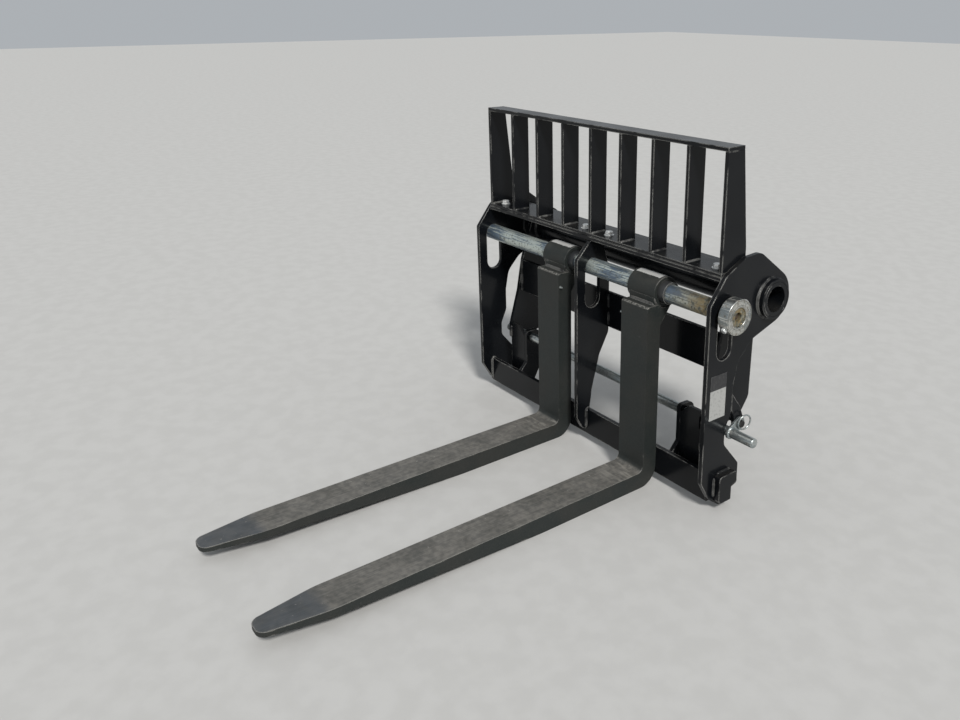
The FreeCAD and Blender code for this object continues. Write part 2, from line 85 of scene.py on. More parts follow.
class Tree:
    """A node tree under construction, with short calls to add and join nodes."""

    def __init__(self, tree: bpy.types.NodeTree) -> None:
        """Start on an emptied tree."""
        self.tree = tree
        tree.nodes.clear()

    def add(self, kind: str, inputs: dict | None = None, **settings) -> bpy.types.Node:
        """Add one node.

        Args:
            kind: Node type without its ShaderNode prefix.
            inputs: Socket name or number to a value, or to a socket to join.
            settings: Properties of the node.

        Returns:
            The new node.
        """
        node = self.tree.nodes.new("ShaderNode" + kind)
        for name, value in settings.items():
            setattr(node, name, value)
        for name, value in (inputs or {}).items():
            if isinstance(value, bpy.types.NodeSocket):
                self.tree.links.new(value, node.inputs[name])
            else:
                node.inputs[name].default_value = value
        return node

    def math(self, operation: str, *values) -> bpy.types.NodeSocket:
        """Join numbers or sockets with one Math node, clamped where the name ends in +.

        Args:
            operation: Name of the operation, with + at its end to clamp the result.
            values: Two or three numbers or sockets.

        Returns:
            The result's socket.
        """
        inputs = dict(enumerate(values))
        node = self.add("Math", inputs, operation=operation.rstrip("+"))
        node.use_clamp = operation.endswith("+")
        return node.outputs[0]

    def mix(self, share, first, second) -> bpy.types.NodeSocket:
        """Mix two colours by a share from 0 to 1.

        Args:
            share: Number or socket.
            first: Colour or socket at 0.
            second: Colour or socket at 1.

        Returns:
            The mixed colour's socket.
        """
        values = [v if isinstance(v, bpy.types.NodeSocket) else (*v, 1.0) for v in (first, second)]
        node = self.add("Mix", {0: share, 6: values[0], 7: values[1]}, data_type="RGBA")
        return node.outputs[2]

    def ramp(self, value, low: float, high: float) -> bpy.types.NodeSocket:
        """Smooth step of a value from 0 at low to 1 at high."""
        inputs = {0: value, 1: low, 2: high}
        return self.add("MapRange", inputs, interpolation_type="SMOOTHSTEP").outputs[0]

    def noise(self, vector, scale: float, detail: float = 4.0) -> bpy.types.NodeSocket:
        """Noise value of a vector socket, about 0.5 in the middle."""
        inputs = {"Vector": vector, "Scale": scale, "Detail": detail}
        return self.add("TexNoise", inputs).outputs[0]

    def scaled(self, vector, scale: tuple) -> bpy.types.NodeSocket:
        """Vector socket stretched along each axis."""
        return self.add("Mapping", {"Vector": vector, "Scale": scale}).outputs[0]


class SurfaceGroup:
    """A shader node group that more than one finish uses."""

    def __init__(self, name: str, inputs: dict[str, float], outputs: list[str]) -> None:
        """Make the group with its sockets.

        Args:
            name: Name of the group.
            inputs: Input names with their first values.
            outputs: Output names.
        """
        self.group = bpy.data.node_groups.new(name, "ShaderNodeTree")
        for label, value in inputs.items():
            socket = self.group.interface.new_socket(label, socket_type="NodeSocketFloat")
            socket.default_value = value
        for label in outputs:
            self.group.interface.new_socket(
                label, in_out="OUTPUT", socket_type="NodeSocketFloat"
            )
        self.tree = Tree(self.group)
        self.start = self.group.nodes.new("NodeGroupInput").outputs
        self.end = self.group.nodes.new("NodeGroupOutput").inputs

    def give(self, label: str, socket: bpy.types.NodeSocket) -> None:
        """Send a socket out of the group."""
        self.group.links.new(socket, self.end[label])

    def use(self, tree: Tree, **values) -> bpy.types.NodeOutputs:
        """Place the group in a material.

        Args:
            tree: The material's tree.
            values: Input names, with _ for each space, and their values or sockets.

        Returns:
            The outputs of the placed group.
        """
        node = tree.tree.nodes.new("ShaderNodeGroup")
        node.node_tree = self.group
        for label, value in values.items():
            socket = node.inputs[label.replace("_", " ")]
            if isinstance(value, bpy.types.NodeSocket):
                tree.tree.links.new(value, socket)
            else:
                socket.default_value = value
        return node.outputs


def edge_wear_group() -> SurfaceGroup:
    """Group whose Mask is 1 on worn outer edges.

    The mask is one minus the dot product of the surface normal and the normal rounded
    over Radius, times a noise that breaks the wear up.

    Returns:
        The group.
    """
    inputs = {"Radius": 0.003, "Amount": 1.0, "Breakup": 60.0, "Spread": 0.0}
    made = SurfaceGroup("edge wear", inputs, ["Mask"])
    tree = made.tree
    rounded = tree.add("Bevel", {"Radius": made.start["Radius"]}, samples=6).outputs[0]
    flat = tree.add("NewGeometry").outputs["True Normal"]
    dot = tree.add("VectorMath", {0: rounded, 1: flat}, operation="DOT_PRODUCT").outputs["Value"]
    edge = tree.ramp(tree.math("SUBTRACT", 1.0, dot), 0.015, 0.13)
    place = tree.add("TexCoord").outputs["Object"]
    broken = tree.noise(place, made.start["Breakup"])
    patches = tree.noise(place, 7.0, 2.0)
    sum_of_noise = tree.math("ADD", tree.math("ADD", broken, patches), made.start["Spread"])
    share = tree.ramp(sum_of_noise, 0.95, 1.2)
    made.give("Mask", tree.math("MULTIPLY+", tree.math("MULTIPLY", edge, share), made.start["Amount"]))
    return made


def dust_group() -> SurfaceGroup:
    """Group whose Mask is 1 where dust lies: on faces that look up, in patches.

    Returns:
        The group.
    """
    made = SurfaceGroup("dust film", {"Scale": 12.0, "Amount": 0.5, "Film": 0.1}, ["Mask"])
    tree = made.tree
    normal = tree.add("NewGeometry").outputs["Normal"]
    up = tree.ramp(tree.add("SeparateXYZ", {0: normal}).outputs["Z"], 0.3, 0.95)
    place = tree.add("TexCoord").outputs["Object"]
    cloud = tree.ramp(tree.noise(place, made.start["Scale"], 8.0), 0.35, 0.7)
    speck = tree.ramp(tree.noise(place, 420.0, 3.0), 0.45, 0.75)
    lying = tree.math("MULTIPLY", up, made.start["Amount"])
    settled = tree.math("ADD", lying, made.start["Film"])
    grain = tree.math("MULTIPLY_ADD", speck, 0.5, 0.5)
    made.give("Mask", tree.math("MULTIPLY+", tree.math("MULTIPLY", settled, cloud), grain))
    return made


def scratch_group() -> SurfaceGroup:
    """Group whose Value is a fine noise stretched along X, Y or Z by its scales.

    Returns:
        The group.
    """
    scales = {"Across X": 30.0, "Across Y": 30.0, "Across Z": 30.0}
    made = SurfaceGroup("scratches", scales, ["Value"])
    tree = made.tree
    parts = [made.start[label] for label in scales]
    scale = tree.add("CombineXYZ", dict(enumerate(parts))).outputs[0]
    place = tree.add("TexCoord").outputs["Object"]
    stretched = tree.add("VectorMath", {0: place, 1: scale}, operation="MULTIPLY").outputs[0]
    made.give("Value", tree.noise(stretched, 1.0, 6.0))
    return made


def turning_group() -> SurfaceGroup:
    """Group whose Value is a fine noise of the distance from an axis along X.

    The distance is the length of the vector from the axis, in the Y, Z plane, so that
    the noise makes rings as a lathe does.

    Returns:
        The group.
    """
    made = SurfaceGroup("turned rings", {"Axis Y": 0.0, "Axis Z": 0.0, "Fineness": 380.0}, ["Value"])
    tree = made.tree
    place = tree.add("SeparateXYZ", {0: tree.add("TexCoord").outputs["Object"]}).outputs
    out_y = tree.math("SUBTRACT", place["Y"], made.start["Axis Y"])
    out_z = tree.math("SUBTRACT", place["Z"], made.start["Axis Z"])
    flat = tree.add("CombineXYZ", {"Y": out_y, "Z": out_z}).outputs[0]
    away = tree.add("VectorMath", {0: flat}, operation="LENGTH").outputs["Value"]
    rings = tree.add("CombineXYZ", {"X": tree.math("MULTIPLY", away, made.start["Fineness"])}).outputs[0]
    worn = tree.noise(tree.add("VectorMath", {0: flat, 1: rings}, operation="ADD").outputs[0], 1.0, 3.0)
    made.give("Value", worn)
    return made


def grain_group() -> SurfaceGroup:
    """Group whose Height is the fine orange peel of sprayed paint or cast skin.

    Returns:
        The group.
    """
    made = SurfaceGroup("paint grain", {"Scale": 350.0, "Waves": 40.0}, ["Height"])
    tree = made.tree
    place = tree.add("TexCoord").outputs["Object"]
    fine = tree.noise(place, made.start["Scale"], 3.0)
    broad = tree.noise(place, made.start["Waves"], 2.0)
    made.give("Height", tree.math("MULTIPLY_ADD", broad, 0.6, tree.math("MULTIPLY", fine, 0.4)))
    return made


class Effects:
    """The node groups that the finishes share."""

    def __init__(self) -> None:
        """Build each group once."""
        self.edge_wear = edge_wear_group()
        self.dust = dust_group()
        self.scratches = scratch_group()
        self.turning = turning_group()
        self.grain = grain_group()


@dataclass(frozen=True)
class Finish:
    """What all finishes have: a name, a shader and its fixed numbers."""

    name: str

    def start(self) -> tuple[bpy.types.Material, Tree, bpy.types.Node]:
        """Make an empty material with its shader and output.

        Returns:
            The material, its tree and its shader.
        """
        material = bpy.data.materials.new(self.name)
        material.use_nodes = True
        tree = Tree(material.node_tree)
        shader = tree.add("BsdfPrincipled")
        tree.add("OutputMaterial", {"Surface": shader.outputs[0]})
        return material, tree, shader

    def bump(self, tree: Tree, shader: bpy.types.Node, height, strength: float, depth: float) -> None:
        """Give the shader a bump.

        Args:
            tree: The material's tree.
            shader: The shader node.
            height: Socket with the height from 0 to 1.
            strength: Share of the bump that is used.
            depth: Depth of the bump in metres.
        """
        bump = tree.add("Bump", {"Height": height, "Strength": strength, "Distance": depth})
        tree.tree.links.new(bump.outputs[0], shader.inputs["Normal"])


@dataclass(frozen=True)
class SprayedPaint(Finish):
    """Glossy sprayed paint over steel, with dust and worn edges."""

    colour: Colour
    faded: Colour
    dust: Colour = (0.11, 0.1, 0.085)
    bare: Colour = (0.5, 0.49, 0.46)
    gloss: float = 0.18
    dust_amount: float = 0.2
    dust_film: float = 0.02
    wear: float = 0.9
    wear_radius: float = 0.005
    wear_breakup: float = 26.0
    wear_spread: float = 0.0
    front_wear: float = 0.12
    front: float = (76.0 - 272.0) * MM
    coat: float = 0.08
    specular: float = 0.17
    grain_depth: float = 0.0002

    def build(self, effects: Effects) -> bpy.types.Material:
        """Build the material.

        Args:
            effects: Shared node groups.

        Returns:
            The material.
        """
        material, tree, shader = self.start()
        place = tree.add("TexCoord").outputs["Object"]
        cloud = tree.ramp(tree.noise(place, 5.0, 5.0), 0.35, 0.7)
        paint = tree.mix(cloud, self.colour, self.faded)
        dust = effects.dust.use(tree, Amount=self.dust_amount, Film=self.dust_film)["Mask"]
        dusty = tree.mix(dust, paint, self.dust)
        depth = tree.add("SeparateXYZ", {0: place}).outputs["Y"]
        near = tree.ramp(depth, self.front + 0.004, self.front)
        spread = tree.math("MULTIPLY_ADD", near, self.front_wear, self.wear_spread)
        wear = effects.edge_wear.use(tree, Amount=self.wear, Radius=self.wear_radius,
                                     Breakup=self.wear_breakup, Spread=spread)["Mask"]
        colour = tree.mix(wear, dusty, self.bare)
        rough = tree.math("MULTIPLY_ADD", dust, 0.6, self.gloss)
        rough = tree.math("MULTIPLY_ADD", cloud, 0.08, rough)
        links = tree.tree.links
        links.new(colour, shader.inputs["Base Color"])
        links.new(tree.math("MULTIPLY_ADD+", wear, 0.25, rough), shader.inputs["Roughness"])
        links.new(tree.math("MULTIPLY", wear, 0.8), shader.inputs["Metallic"])
        shader.inputs["Specular IOR Level"].default_value = self.specular
        shader.inputs["Coat Weight"].default_value = self.coat
        shader.inputs["Coat Roughness"].default_value = 0.08
        grain = effects.grain.use(tree)["Height"]
        self.bump(tree, shader, grain, 0.35, self.grain_depth)
        return material


@dataclass(frozen=True)
class ForkCoat(Finish):
    """Matt fork coating, rubbed brown on the blades' tops and chipped on the edges, with a pale band along
    the tops of the eyes that is a painted highlight.
    """

    colour: Colour
    brown: Colour
    rubbed: Colour
    rubbed_dark: Colour
    tip: Colour
    scuff: Colour = (0.34, 0.32, 0.285)
    bare: Colour = (0.44, 0.42, 0.385)
    bright: Colour = (0.82, 0.81, 0.78)
    specular: float = 0.35
    blade_top: float = (61.0 - 643.0) * MM
    shank_top: float = (606.0 - 643.0) * MM
    shank_front: float = -272.0 * MM
    tip_start: float = (-1020.0 - 272.0) * MM
    heel_start: float = (-190.0 - 272.0) * MM
    heel_end: float = (-30.0 - 272.0) * MM
    eye_highlight_level: float = (683.3 - 643.0) * MM
    eye_middles: tuple[float, float] = (-141.0 * MM, 286.0 * MM)

    def build(self, effects: Effects) -> bpy.types.Material:
        """Build the material.

        Args:
            effects: Shared node groups.

        Returns:
            The material.
        """
        material, tree, shader = self.start()
        place = tree.add("TexCoord").outputs["Object"]
        parts = tree.add("SeparateXYZ", {0: place}).outputs
        cloud = tree.ramp(tree.noise(place, 9.0, 6.0), 0.35, 0.68)
        coat = tree.mix(cloud, self.colour, self.brown)
        speckle = tree.ramp(tree.noise(place, 330.0, 4.0), 0.46, 0.66)
        coat = tree.mix(tree.math("MULTIPLY", speckle, 0.3), coat, (0.05, 0.052, 0.049))
        normal = tree.add("NewGeometry").outputs["Normal"]
        level = tree.add("SeparateXYZ", {0: normal}).outputs["Z"]
        up = tree.ramp(level, 0.55, 0.9)
        streaks = effects.scratches.use(tree, Across_X=320.0, Across_Y=9.0, Across_Z=320.0)["Value"]
        top = self.blade_mask(tree, place, parts, up, streaks)
        colour = tree.mix(top, coat, self.blade_colour(tree, place, parts, streaks))
        scuffs = self.heel_mask(tree, place, parts, up)
        colour = tree.mix(scuffs, colour, self.scuff)
        dust = effects.dust.use(tree, Amount=0.22, Film=0.02, Scale=30.0)["Mask"]
        colour = tree.mix(dust, colour, (0.17, 0.155, 0.13))
        lift = tree.math("MULTIPLY_ADD", tree.ramp(level, 0.05, 0.45), 0.3, -0.13)
        wear = effects.edge_wear.use(tree, Amount=0.8, Radius=0.006, Breakup=30.0, Spread=lift)["Mask"]
        chips = tree.ramp(tree.noise(place, 95.0, 2.0), 0.72, 0.76)
        chips = tree.math("MULTIPLY", chips, tree.math("MULTIPLY_ADD", up, 0.5, 0.05))
        # The pale line on the shank's top front edge in this mask is partly a painted highlight.
        worn = tree.math("MAXIMUM", tree.math("MAXIMUM", wear, chips), self.ledge_wear_and_highlight_mask(tree, place, parts))
        colour = tree.mix(worn, colour, self.bare)
        # Painted highlight: a pale, smoother, partly metallic band along the top of each eye, with a ragged
        # lower edge.
        ragged = tree.math("MULTIPLY_ADD", tree.noise(place, 240.0, 3.0), 0.003, parts["Z"])
        away = [tree.math("ABSOLUTE", tree.math("SUBTRACT", parts["X"], middle))
                for middle in self.eye_middles]
        inside = tree.ramp(tree.math("MINIMUM", *away), 0.0525, 0.0505)
        eye_highlight_band = tree.math("MULTIPLY", tree.ramp(ragged, self.eye_highlight_level + 0.0008, self.eye_highlight_level + 0.002), inside)
        colour = tree.mix(tree.math("MULTIPLY", eye_highlight_band, 0.92), colour, self.bright)
        rough = tree.math("MULTIPLY_ADD", top, -0.06, 0.56)
        rough = tree.math("MULTIPLY_ADD", cloud, 0.1, rough)
        links = tree.tree.links
        links.new(colour, shader.inputs["Base Color"])
        rough = tree.math("MULTIPLY_ADD", eye_highlight_band, -0.2, rough)
        links.new(tree.math("MULTIPLY_ADD+", worn, -0.12, rough), shader.inputs["Roughness"])
        metal = tree.math("MULTIPLY", worn, 0.6)
        links.new(tree.math("MULTIPLY_ADD+", eye_highlight_band, 0.35, metal), shader.inputs["Metallic"])
        shader.inputs["Specular IOR Level"].default_value = self.specular
        grain = effects.grain.use(tree, Scale=240.0, Waves=55.0)["Height"]
        height = tree.math("MULTIPLY_ADD", streaks, 0.4, grain)
        self.bump(tree, shader, height, 0.45, 0.0005)
        return material

    def ledge_wear_and_highlight_mask(self, tree: Tree, place, parts) -> bpy.types.NodeSocket:
        """Mask of the pale front edge on top of the shank: bared steel, and partly a painted highlight of
        that edge.

        Args:
            tree: The material's tree.
            place: Socket with the object coordinates.
            parts: Sockets with the separate coordinates.

        Returns:
            The mask.
        """
        # The pale line along this edge is partly a painted highlight.
        high = tree.ramp(parts["Z"], self.shank_top - 0.006, self.shank_top - 0.003)
        front = tree.ramp(parts["Y"], self.shank_front + 0.009, self.shank_front + 0.005)
        breaks = tree.ramp(tree.noise(place, 130.0, 7.0), 0.4, 0.6)
        edge = tree.math("MULTIPLY", tree.math("MULTIPLY", high, front), breaks)
        return tree.math("MULTIPLY", edge, 0.55)

    def blade_mask(self, tree: Tree, place, parts, up, streaks) -> bpy.types.NodeSocket:
        """Mask of the rubbed top of the blades.

        Args:
            tree: The material's tree.
            place: Socket with the object coordinates.
            parts: Sockets with the separate coordinates.
            up: Mask of the faces that look up.
            streaks: Noise stretched along the blade.

        Returns:
            The mask.
        """
        low = tree.ramp(parts["Z"], self.blade_top + 0.03, self.blade_top + 0.004)
        blots = tree.noise(place, 16.0, 6.0)
        rubbing = tree.math("ADD", tree.math("MULTIPLY", streaks, 0.35), blots)
        share = tree.math("MULTIPLY_ADD", tree.ramp(rubbing, 0.45, 0.85), 0.4, 0.6)
        return tree.math("MULTIPLY", tree.math("MULTIPLY", up, low), share)

    def blade_colour(self, tree: Tree, place, parts, streaks) -> bpy.types.NodeSocket:
        """Colour of the rubbed top: brown grey, darker and bluer towards the tip.

        Args:
            tree: The material's tree.
            place: Socket with the object coordinates.
            parts: Sockets with the separate coordinates.
            streaks: Noise stretched along the blade.

        Returns:
            The colour.
        """
        fine = tree.math("MULTIPLY_ADD", streaks, 0.5, tree.noise(place, 70.0, 7.0))
        rubbed = tree.mix(tree.ramp(fine, 0.55, 0.95), self.rubbed_dark, self.rubbed)
        wavy = tree.math("MULTIPLY_ADD", tree.noise(place, 18.0, 3.0), 0.05, parts["Y"])
        near_tip = tree.ramp(wavy, self.tip_start + 0.03, self.tip_start - 0.015)
        return tree.mix(tree.math("MULTIPLY", near_tip, 0.85), rubbed, self.tip)

    def heel_mask(self, tree: Tree, place, parts, up) -> bpy.types.NodeSocket:
        """Mask of the pale scuffs that loads leave on the blade near the heel.

        Args:
            tree: The material's tree.
            place: Socket with the object coordinates.
            parts: Sockets with the separate coordinates.
            up: Mask of the faces that look up.

        Returns:
            The mask.
        """
        near = tree.ramp(parts["Y"], self.heel_start, self.heel_end)
        low = tree.ramp(parts["Z"], self.blade_top + 0.05, self.blade_top + 0.01)
        marks = tree.noise(tree.scaled(place, (18.0, 95.0, 30.0)), 1.0, 7.0)
        marks = tree.math("MULTIPLY", tree.ramp(marks, 0.52, 0.68), 0.55)
        return tree.math("MULTIPLY", tree.math("MULTIPLY", near, low), tree.math("MULTIPLY", marks, up))


@dataclass(frozen=True)
class PlatedSteel(Finish):
    """Plated steel with a tinted film in streaks, stains and fine turning marks."""

    colour: Colour
    tint: Colour
    stain: Colour
    stain_amount: float = 0.4
    rough: float = 0.3
    metal: float = 1.0
    turned: tuple[float, float, float] = (700.0, 12.0, 12.0)
    far: Colour | None = None
    far_from: float = 0.35
    far_to: float = 0.54
    axis: tuple[float, float] | None = None

    def build(self, effects: Effects) -> bpy.types.Material:
        """Build the material.

        Args:
            effects: Shared node groups.

        Returns:
            The material.
        """
        material, tree, shader = self.start()
        place = tree.add("TexCoord").outputs["Object"]
        patches = tree.noise(tree.scaled(place, (6.0, 26.0, 26.0)), 1.0, 3.0)
        lines = tree.noise(tree.scaled(place, (13.0, 330.0, 330.0)), 1.0, 6.0)
        streaky = tree.math("MULTIPLY_ADD", lines, 1.1, patches)
        metal = tree.mix(tree.ramp(streaky, 0.98, 1.16), self.colour, self.tint)
        spots = tree.ramp(tree.noise(place, 110.0, 7.0), 0.52, 0.66)
        stain = tree.math("MULTIPLY", spots, self.stain_amount)
        if self.far is not None:
            across = tree.add("SeparateXYZ", {0: place}).outputs["X"]
            share = tree.ramp(across, self.far_from, self.far_to)
            mottle = tree.ramp(tree.noise(tree.scaled(place, (45.0, 90.0, 90.0)), 1.0, 7.0), 0.38, 0.58)
            mottle = tree.math("MULTIPLY_ADD", mottle, 0.35, 0.62)
            metal = tree.mix(tree.math("MULTIPLY", share, mottle), metal, self.far)
            smears = tree.ramp(tree.noise(place, 55.0, 6.0), 0.45, 0.62)
            stain = tree.math("MULTIPLY_ADD+", tree.math("MULTIPLY", share, smears), 0.5, stain)
        colour = tree.mix(stain, metal, self.stain)
        x_scale, y_scale, z_scale = self.turned
        marks = effects.scratches.use(tree, Across_X=x_scale, Across_Y=y_scale, Across_Z=z_scale)["Value"]
        if self.axis is not None:
            rings = effects.turning.use(tree, Axis_Y=self.axis[0], Axis_Z=self.axis[1])["Value"]
            marks = tree.math("MULTIPLY_ADD", rings, 1.6, tree.math("MULTIPLY", marks, 0.4))
            dull = tree.math("MULTIPLY", tree.ramp(rings, 0.47, 0.6), 0.6)
            colour = tree.mix(dull, colour, self.stain)
        rough = tree.math("MULTIPLY_ADD", stain, 0.45, self.rough)
        rough = tree.math("MULTIPLY_ADD", marks, 0.14, rough)
        links = tree.tree.links
        links.new(colour, shader.inputs["Base Color"])
        links.new(rough, shader.inputs["Roughness"])
        bare = tree.math("SUBTRACT", self.metal, tree.math("MULTIPLY", stain, 0.8))
        links.new(tree.math("MAXIMUM", bare, 0.0), shader.inputs["Metallic"])
        self.bump(tree, shader, marks, 0.25, 0.0002)
        return material


@dataclass(frozen=True)
class BlankLabel(Finish):
    """Blank stick-on plate: a dark head over a pale field."""

    head: Colour = (0.02, 0.02, 0.022)
    field: Colour = (0.4, 0.4, 0.385)
    parting: float = (410.0 - 643.0) * MM

    def build(self, effects: Effects) -> bpy.types.Material:
        """Build the material.

        Args:
            effects: Shared node groups.

        Returns:
            The material.
        """
        material, tree, shader = self.start()
        place = tree.add("TexCoord").outputs["Object"]
        height = tree.add("SeparateXYZ", {0: place}).outputs["Z"]
        upper = tree.ramp(height, self.parting - 0.0006, self.parting + 0.0006)
        colour = tree.mix(upper, self.field, self.head)
        wear = effects.edge_wear.use(tree, Amount=0.6, Radius=0.002, Breakup=120.0)["Mask"]
        colour = tree.mix(wear, colour, (0.25, 0.25, 0.24))
        scuffs = tree.ramp(tree.noise(place, 130.0, 6.0), 0.5, 0.7)
        colour = tree.mix(tree.math("MULTIPLY", scuffs, 0.35), colour, (0.12, 0.12, 0.115))
        tree.tree.links.new(colour, shader.inputs["Base Color"])
        rough = tree.math("MULTIPLY_ADD", scuffs, 0.25, 0.3)
        tree.tree.links.new(rough, shader.inputs["Roughness"])
        return material


@dataclass(frozen=True)
class Plain(Finish):
    """A dull surface with a faint mottle, such as rust, rubber or the floor."""

    colour: Colour
    second: Colour
    rough: float = 0.8
    scale: float = 60.0

    def build(self, effects: Effects) -> bpy.types.Material:
        """Build the material.

        Args:
            effects: Shared node groups.

        Returns:
            The material.
        """
        material, tree, shader = self.start()
        place = tree.add("TexCoord").outputs["Object"]
        cloud = tree.ramp(tree.noise(place, self.scale, 6.0), 0.35, 0.65)
        tree.tree.links.new(tree.mix(cloud, self.colour, self.second), shader.inputs["Base Color"])
        shader.inputs["Roughness"].default_value = self.rough
        self.bump(tree, shader, effects.grain.use(tree, Scale=500.0)["Height"], 0.3, 0.0003)
        return material


class Finishes:
    """The materials of this object, each built once."""

    def __init__(self, effects: Effects) -> None:
        """Build every material.

        Args:
            effects: Shared node groups.
        """
        black = SprayedPaint("black_paint", (0.0042, 0.005, 0.0064), (0.0075, 0.0085, 0.01))
        self.paint = black.build(effects)
        bead = SprayedPaint("black_weld", (0.005, 0.0058, 0.007), (0.01, 0.0105, 0.0115),
                            gloss=0.2, wear=0.35, wear_spread=0.05, dust_amount=0.2)
        self.weld = bead.build(effects)
        self.fork = ForkCoat("fork_coat", (0.017, 0.0215, 0.0205), (0.0255, 0.027, 0.0245),
                             (0.19, 0.18, 0.162), (0.118, 0.114, 0.105),
                             (0.066, 0.075, 0.086)).build(effects)
        self.bush = SprayedPaint("bush_steel", (0.024, 0.026, 0.028), (0.05, 0.05, 0.05),
                                 gloss=0.34, coat=0.0, wear=0.8, specular=0.5).build(effects)
        shaft = PlatedSteel("shaft_plating", (0.52, 0.57, 0.53), (0.12, 0.165, 0.22),
                            (0.08, 0.082, 0.064), stain_amount=0.7, rough=0.28, metal=0.55,
                            turned=(9.0, 260.0, 260.0), far=(0.25, 0.185, 0.085))
        self.shaft = shaft.build(effects)
        zinc = PlatedSteel("zinc_plating", (0.52, 0.55, 0.54), (0.3, 0.34, 0.35),
                           (0.14, 0.12, 0.09), stain_amount=0.5, rough=0.24, metal=0.85)
        self.zinc = zinc.build(effects)
        # Bolt zinc, paler than the plating's own colour and only partly metallic: zinc, and partly a painted
        # highlight so that the bolts look lit bright.
        bright = PlatedSteel("bolt_zinc_painted_highlight", (0.86, 0.86, 0.84), (0.6, 0.62, 0.62),
                             (0.25, 0.22, 0.16), stain_amount=0.15, rough=0.3, metal=0.6)
        self.bright = bright.build(effects)
        collar = PlatedSteel("turned_collar", (0.68, 0.68, 0.64), (0.32, 0.35, 0.35),
                             (0.1, 0.078, 0.052), stain_amount=0.7, rough=0.22,
                             axis=((79.0 - 272.0) * MM, (639.0 - 643.0) * MM))
        self.collar = collar.build(effects)
        # Black as painted shade: on the linch pin it stands for the dark of the tab's hole round it, and it
        # makes the dark mouth of the hole across the bar.
        self.pin = SprayedPaint("pin_black_painted_shade", (0.012, 0.012, 0.013), (0.03, 0.028, 0.025),
                                gloss=0.35, wear=0.8).build(effects)
        self.rust = Plain("rust_film", (0.11, 0.075, 0.05), (0.04, 0.032, 0.026), 0.6, 160.0).build(effects)
        self.label = BlankLabel("blank_label").build(effects)
        self.floor = Plain("floor", (0.57, 0.56, 0.54), (0.6, 0.59, 0.57), 0.9, 14.0).build(effects)


# Surfaces


@dataclass
class Surface:
    """Vertices and faces of a shape, in the classes' own coordinates."""

    vertices: np.ndarray
    faces: list

    def turned(self, matrix: np.ndarray, centre: np.ndarray) -> "Surface":
        """Turn the shape by a 3 x 3 matrix and move it to a centre."""
        return Surface(self.vertices @ np.asarray(matrix).T + centre, self.faces)


def joined(shapes: list[Surface]) -> Surface:
    """Put several shapes into one.

    Args:
        shapes: The shapes.

    Returns:
        One shape with all vertices and faces.
    """
    faces = []
    offset = 0
    for shape in shapes:
        faces += [tuple(np.asarray(face) + offset) for face in shape.faces]
        offset += len(shape.vertices)
    return Surface(np.concatenate([shape.vertices for shape in shapes]), faces)


def grid_faces(rows: int, columns: int, closed: bool) -> list:
    """Four-cornered faces of a grid of points, joined round its columns.

    Args:
        rows: Number of points along the first parameter.
        columns: Number of points along the second parameter.
        closed: True where the last row joins the first one too.

    Returns:
        The faces, as corner numbers.
    """
    row = np.arange(rows if closed else rows - 1)[:, None]
    column = np.arange(columns)[None, :]
    after_row = (row + 1) % rows
    after_column = (column + 1) % columns
    corners = (
        row * columns + column,
        row * columns + after_column,
        after_row * columns + after_column,
        after_row * columns + column,
    )
    return np.stack([np.broadcast_to(c, (len(row), columns)).ravel() for c in corners], 1).tolist()


def swept(points: np.ndarray, closed: bool) -> Surface:
    """Surface through rows of section points, with flat ends unless it closes.

    Args:
        points: Array of section, point, coordinate.
        closed: True where the last section joins the first one.

    Returns:
        The closed surface.
    """
    sections, count, _ = points.shape
    faces = grid_faces(sections, count, closed)
    if not closed:
        faces.append(tuple(range(count - 1, -1, -1)))
        last = (sections - 1) * count
        faces.append(tuple(range(last, last + count)))
    return Surface(points.reshape(-1, 3), faces)


def weld_bead(path: np.ndarray, side_a: np.ndarray, side_b: np.ndarray, leg: float,
              closed: bool = False, seed: int = 1) -> Surface:
    """Fillet weld in the corner between two faces.

    The section at arc length s is r(a, s) = leg ((1 - c) / (cos a + sin a) + c) from the
    root, for a from 0 at side_a to a quarter turn at side_b. c bulges it. r swells by a
    sine of s for the ripples, which lag towards the middle, and by a slow random wave.

    Args:
        path: Root points of the bead, in order.
        side_a: Unit vectors along the first face, one for all or one each.
        side_b: Unit vectors along the second face, one for all or one each.
        leg: Leg length of the fillet.
        closed: True where the path is a full ring.
        seed: Number that the random wave starts from.

    Returns:
        The bead.
    """
    count = len(path)
    side_a = np.broadcast_to(side_a, (count, 3))
    side_b = np.broadcast_to(side_b, (count, 3))
    steps = np.linalg.norm(np.roll(path, -1, 0) - path, axis=1)
    along = np.concatenate([[0.0], np.cumsum(steps)[:-1]])[:, None]
    angle = np.linspace(0.0, math.pi / 2, 7)[None, :]
    bulge = 0.45
    radius = leg * ((1 - bulge) / (np.cos(angle) + np.sin(angle)) + bulge)
    total = max(float(along[-1, 0]), 1e-6)
    ripples = max(2, round(total / (0.55 * leg)))
    phase = 2 * math.pi * ripples * along / (total + (steps[-1] if closed else 0.0))
    lag = 1.5 * np.sin(2 * angle)
    middle = np.sin(2 * angle)
    swell = 1 + 0.075 * np.sin(phase - lag) * middle
    waves = np.random.default_rng(seed).uniform(0.0, 2 * math.pi, 3)
    slow = sum(np.sin(2 * math.pi * along / total * turns + shift)
               for turns, shift in zip((3, 7, 12), waves))
    swell = swell * (1 + 0.03 * slow)
    if not closed:
        ends = np.minimum(along, total - along) / leg
        swell = swell * np.clip(0.45 + 0.55 * ends, 0.45, 1.0)
    radius = radius * swell
    arc = (path[:, None, :] + radius[..., None] * (
        np.cos(angle)[..., None] * side_a[:, None, :] + np.sin(angle)[..., None] * side_b[:, None, :]))
    root = path[:, None, :] - 0.0003 * (side_a + side_b)[:, None, :]
    return swept(np.concatenate([root, arc], 1), closed)


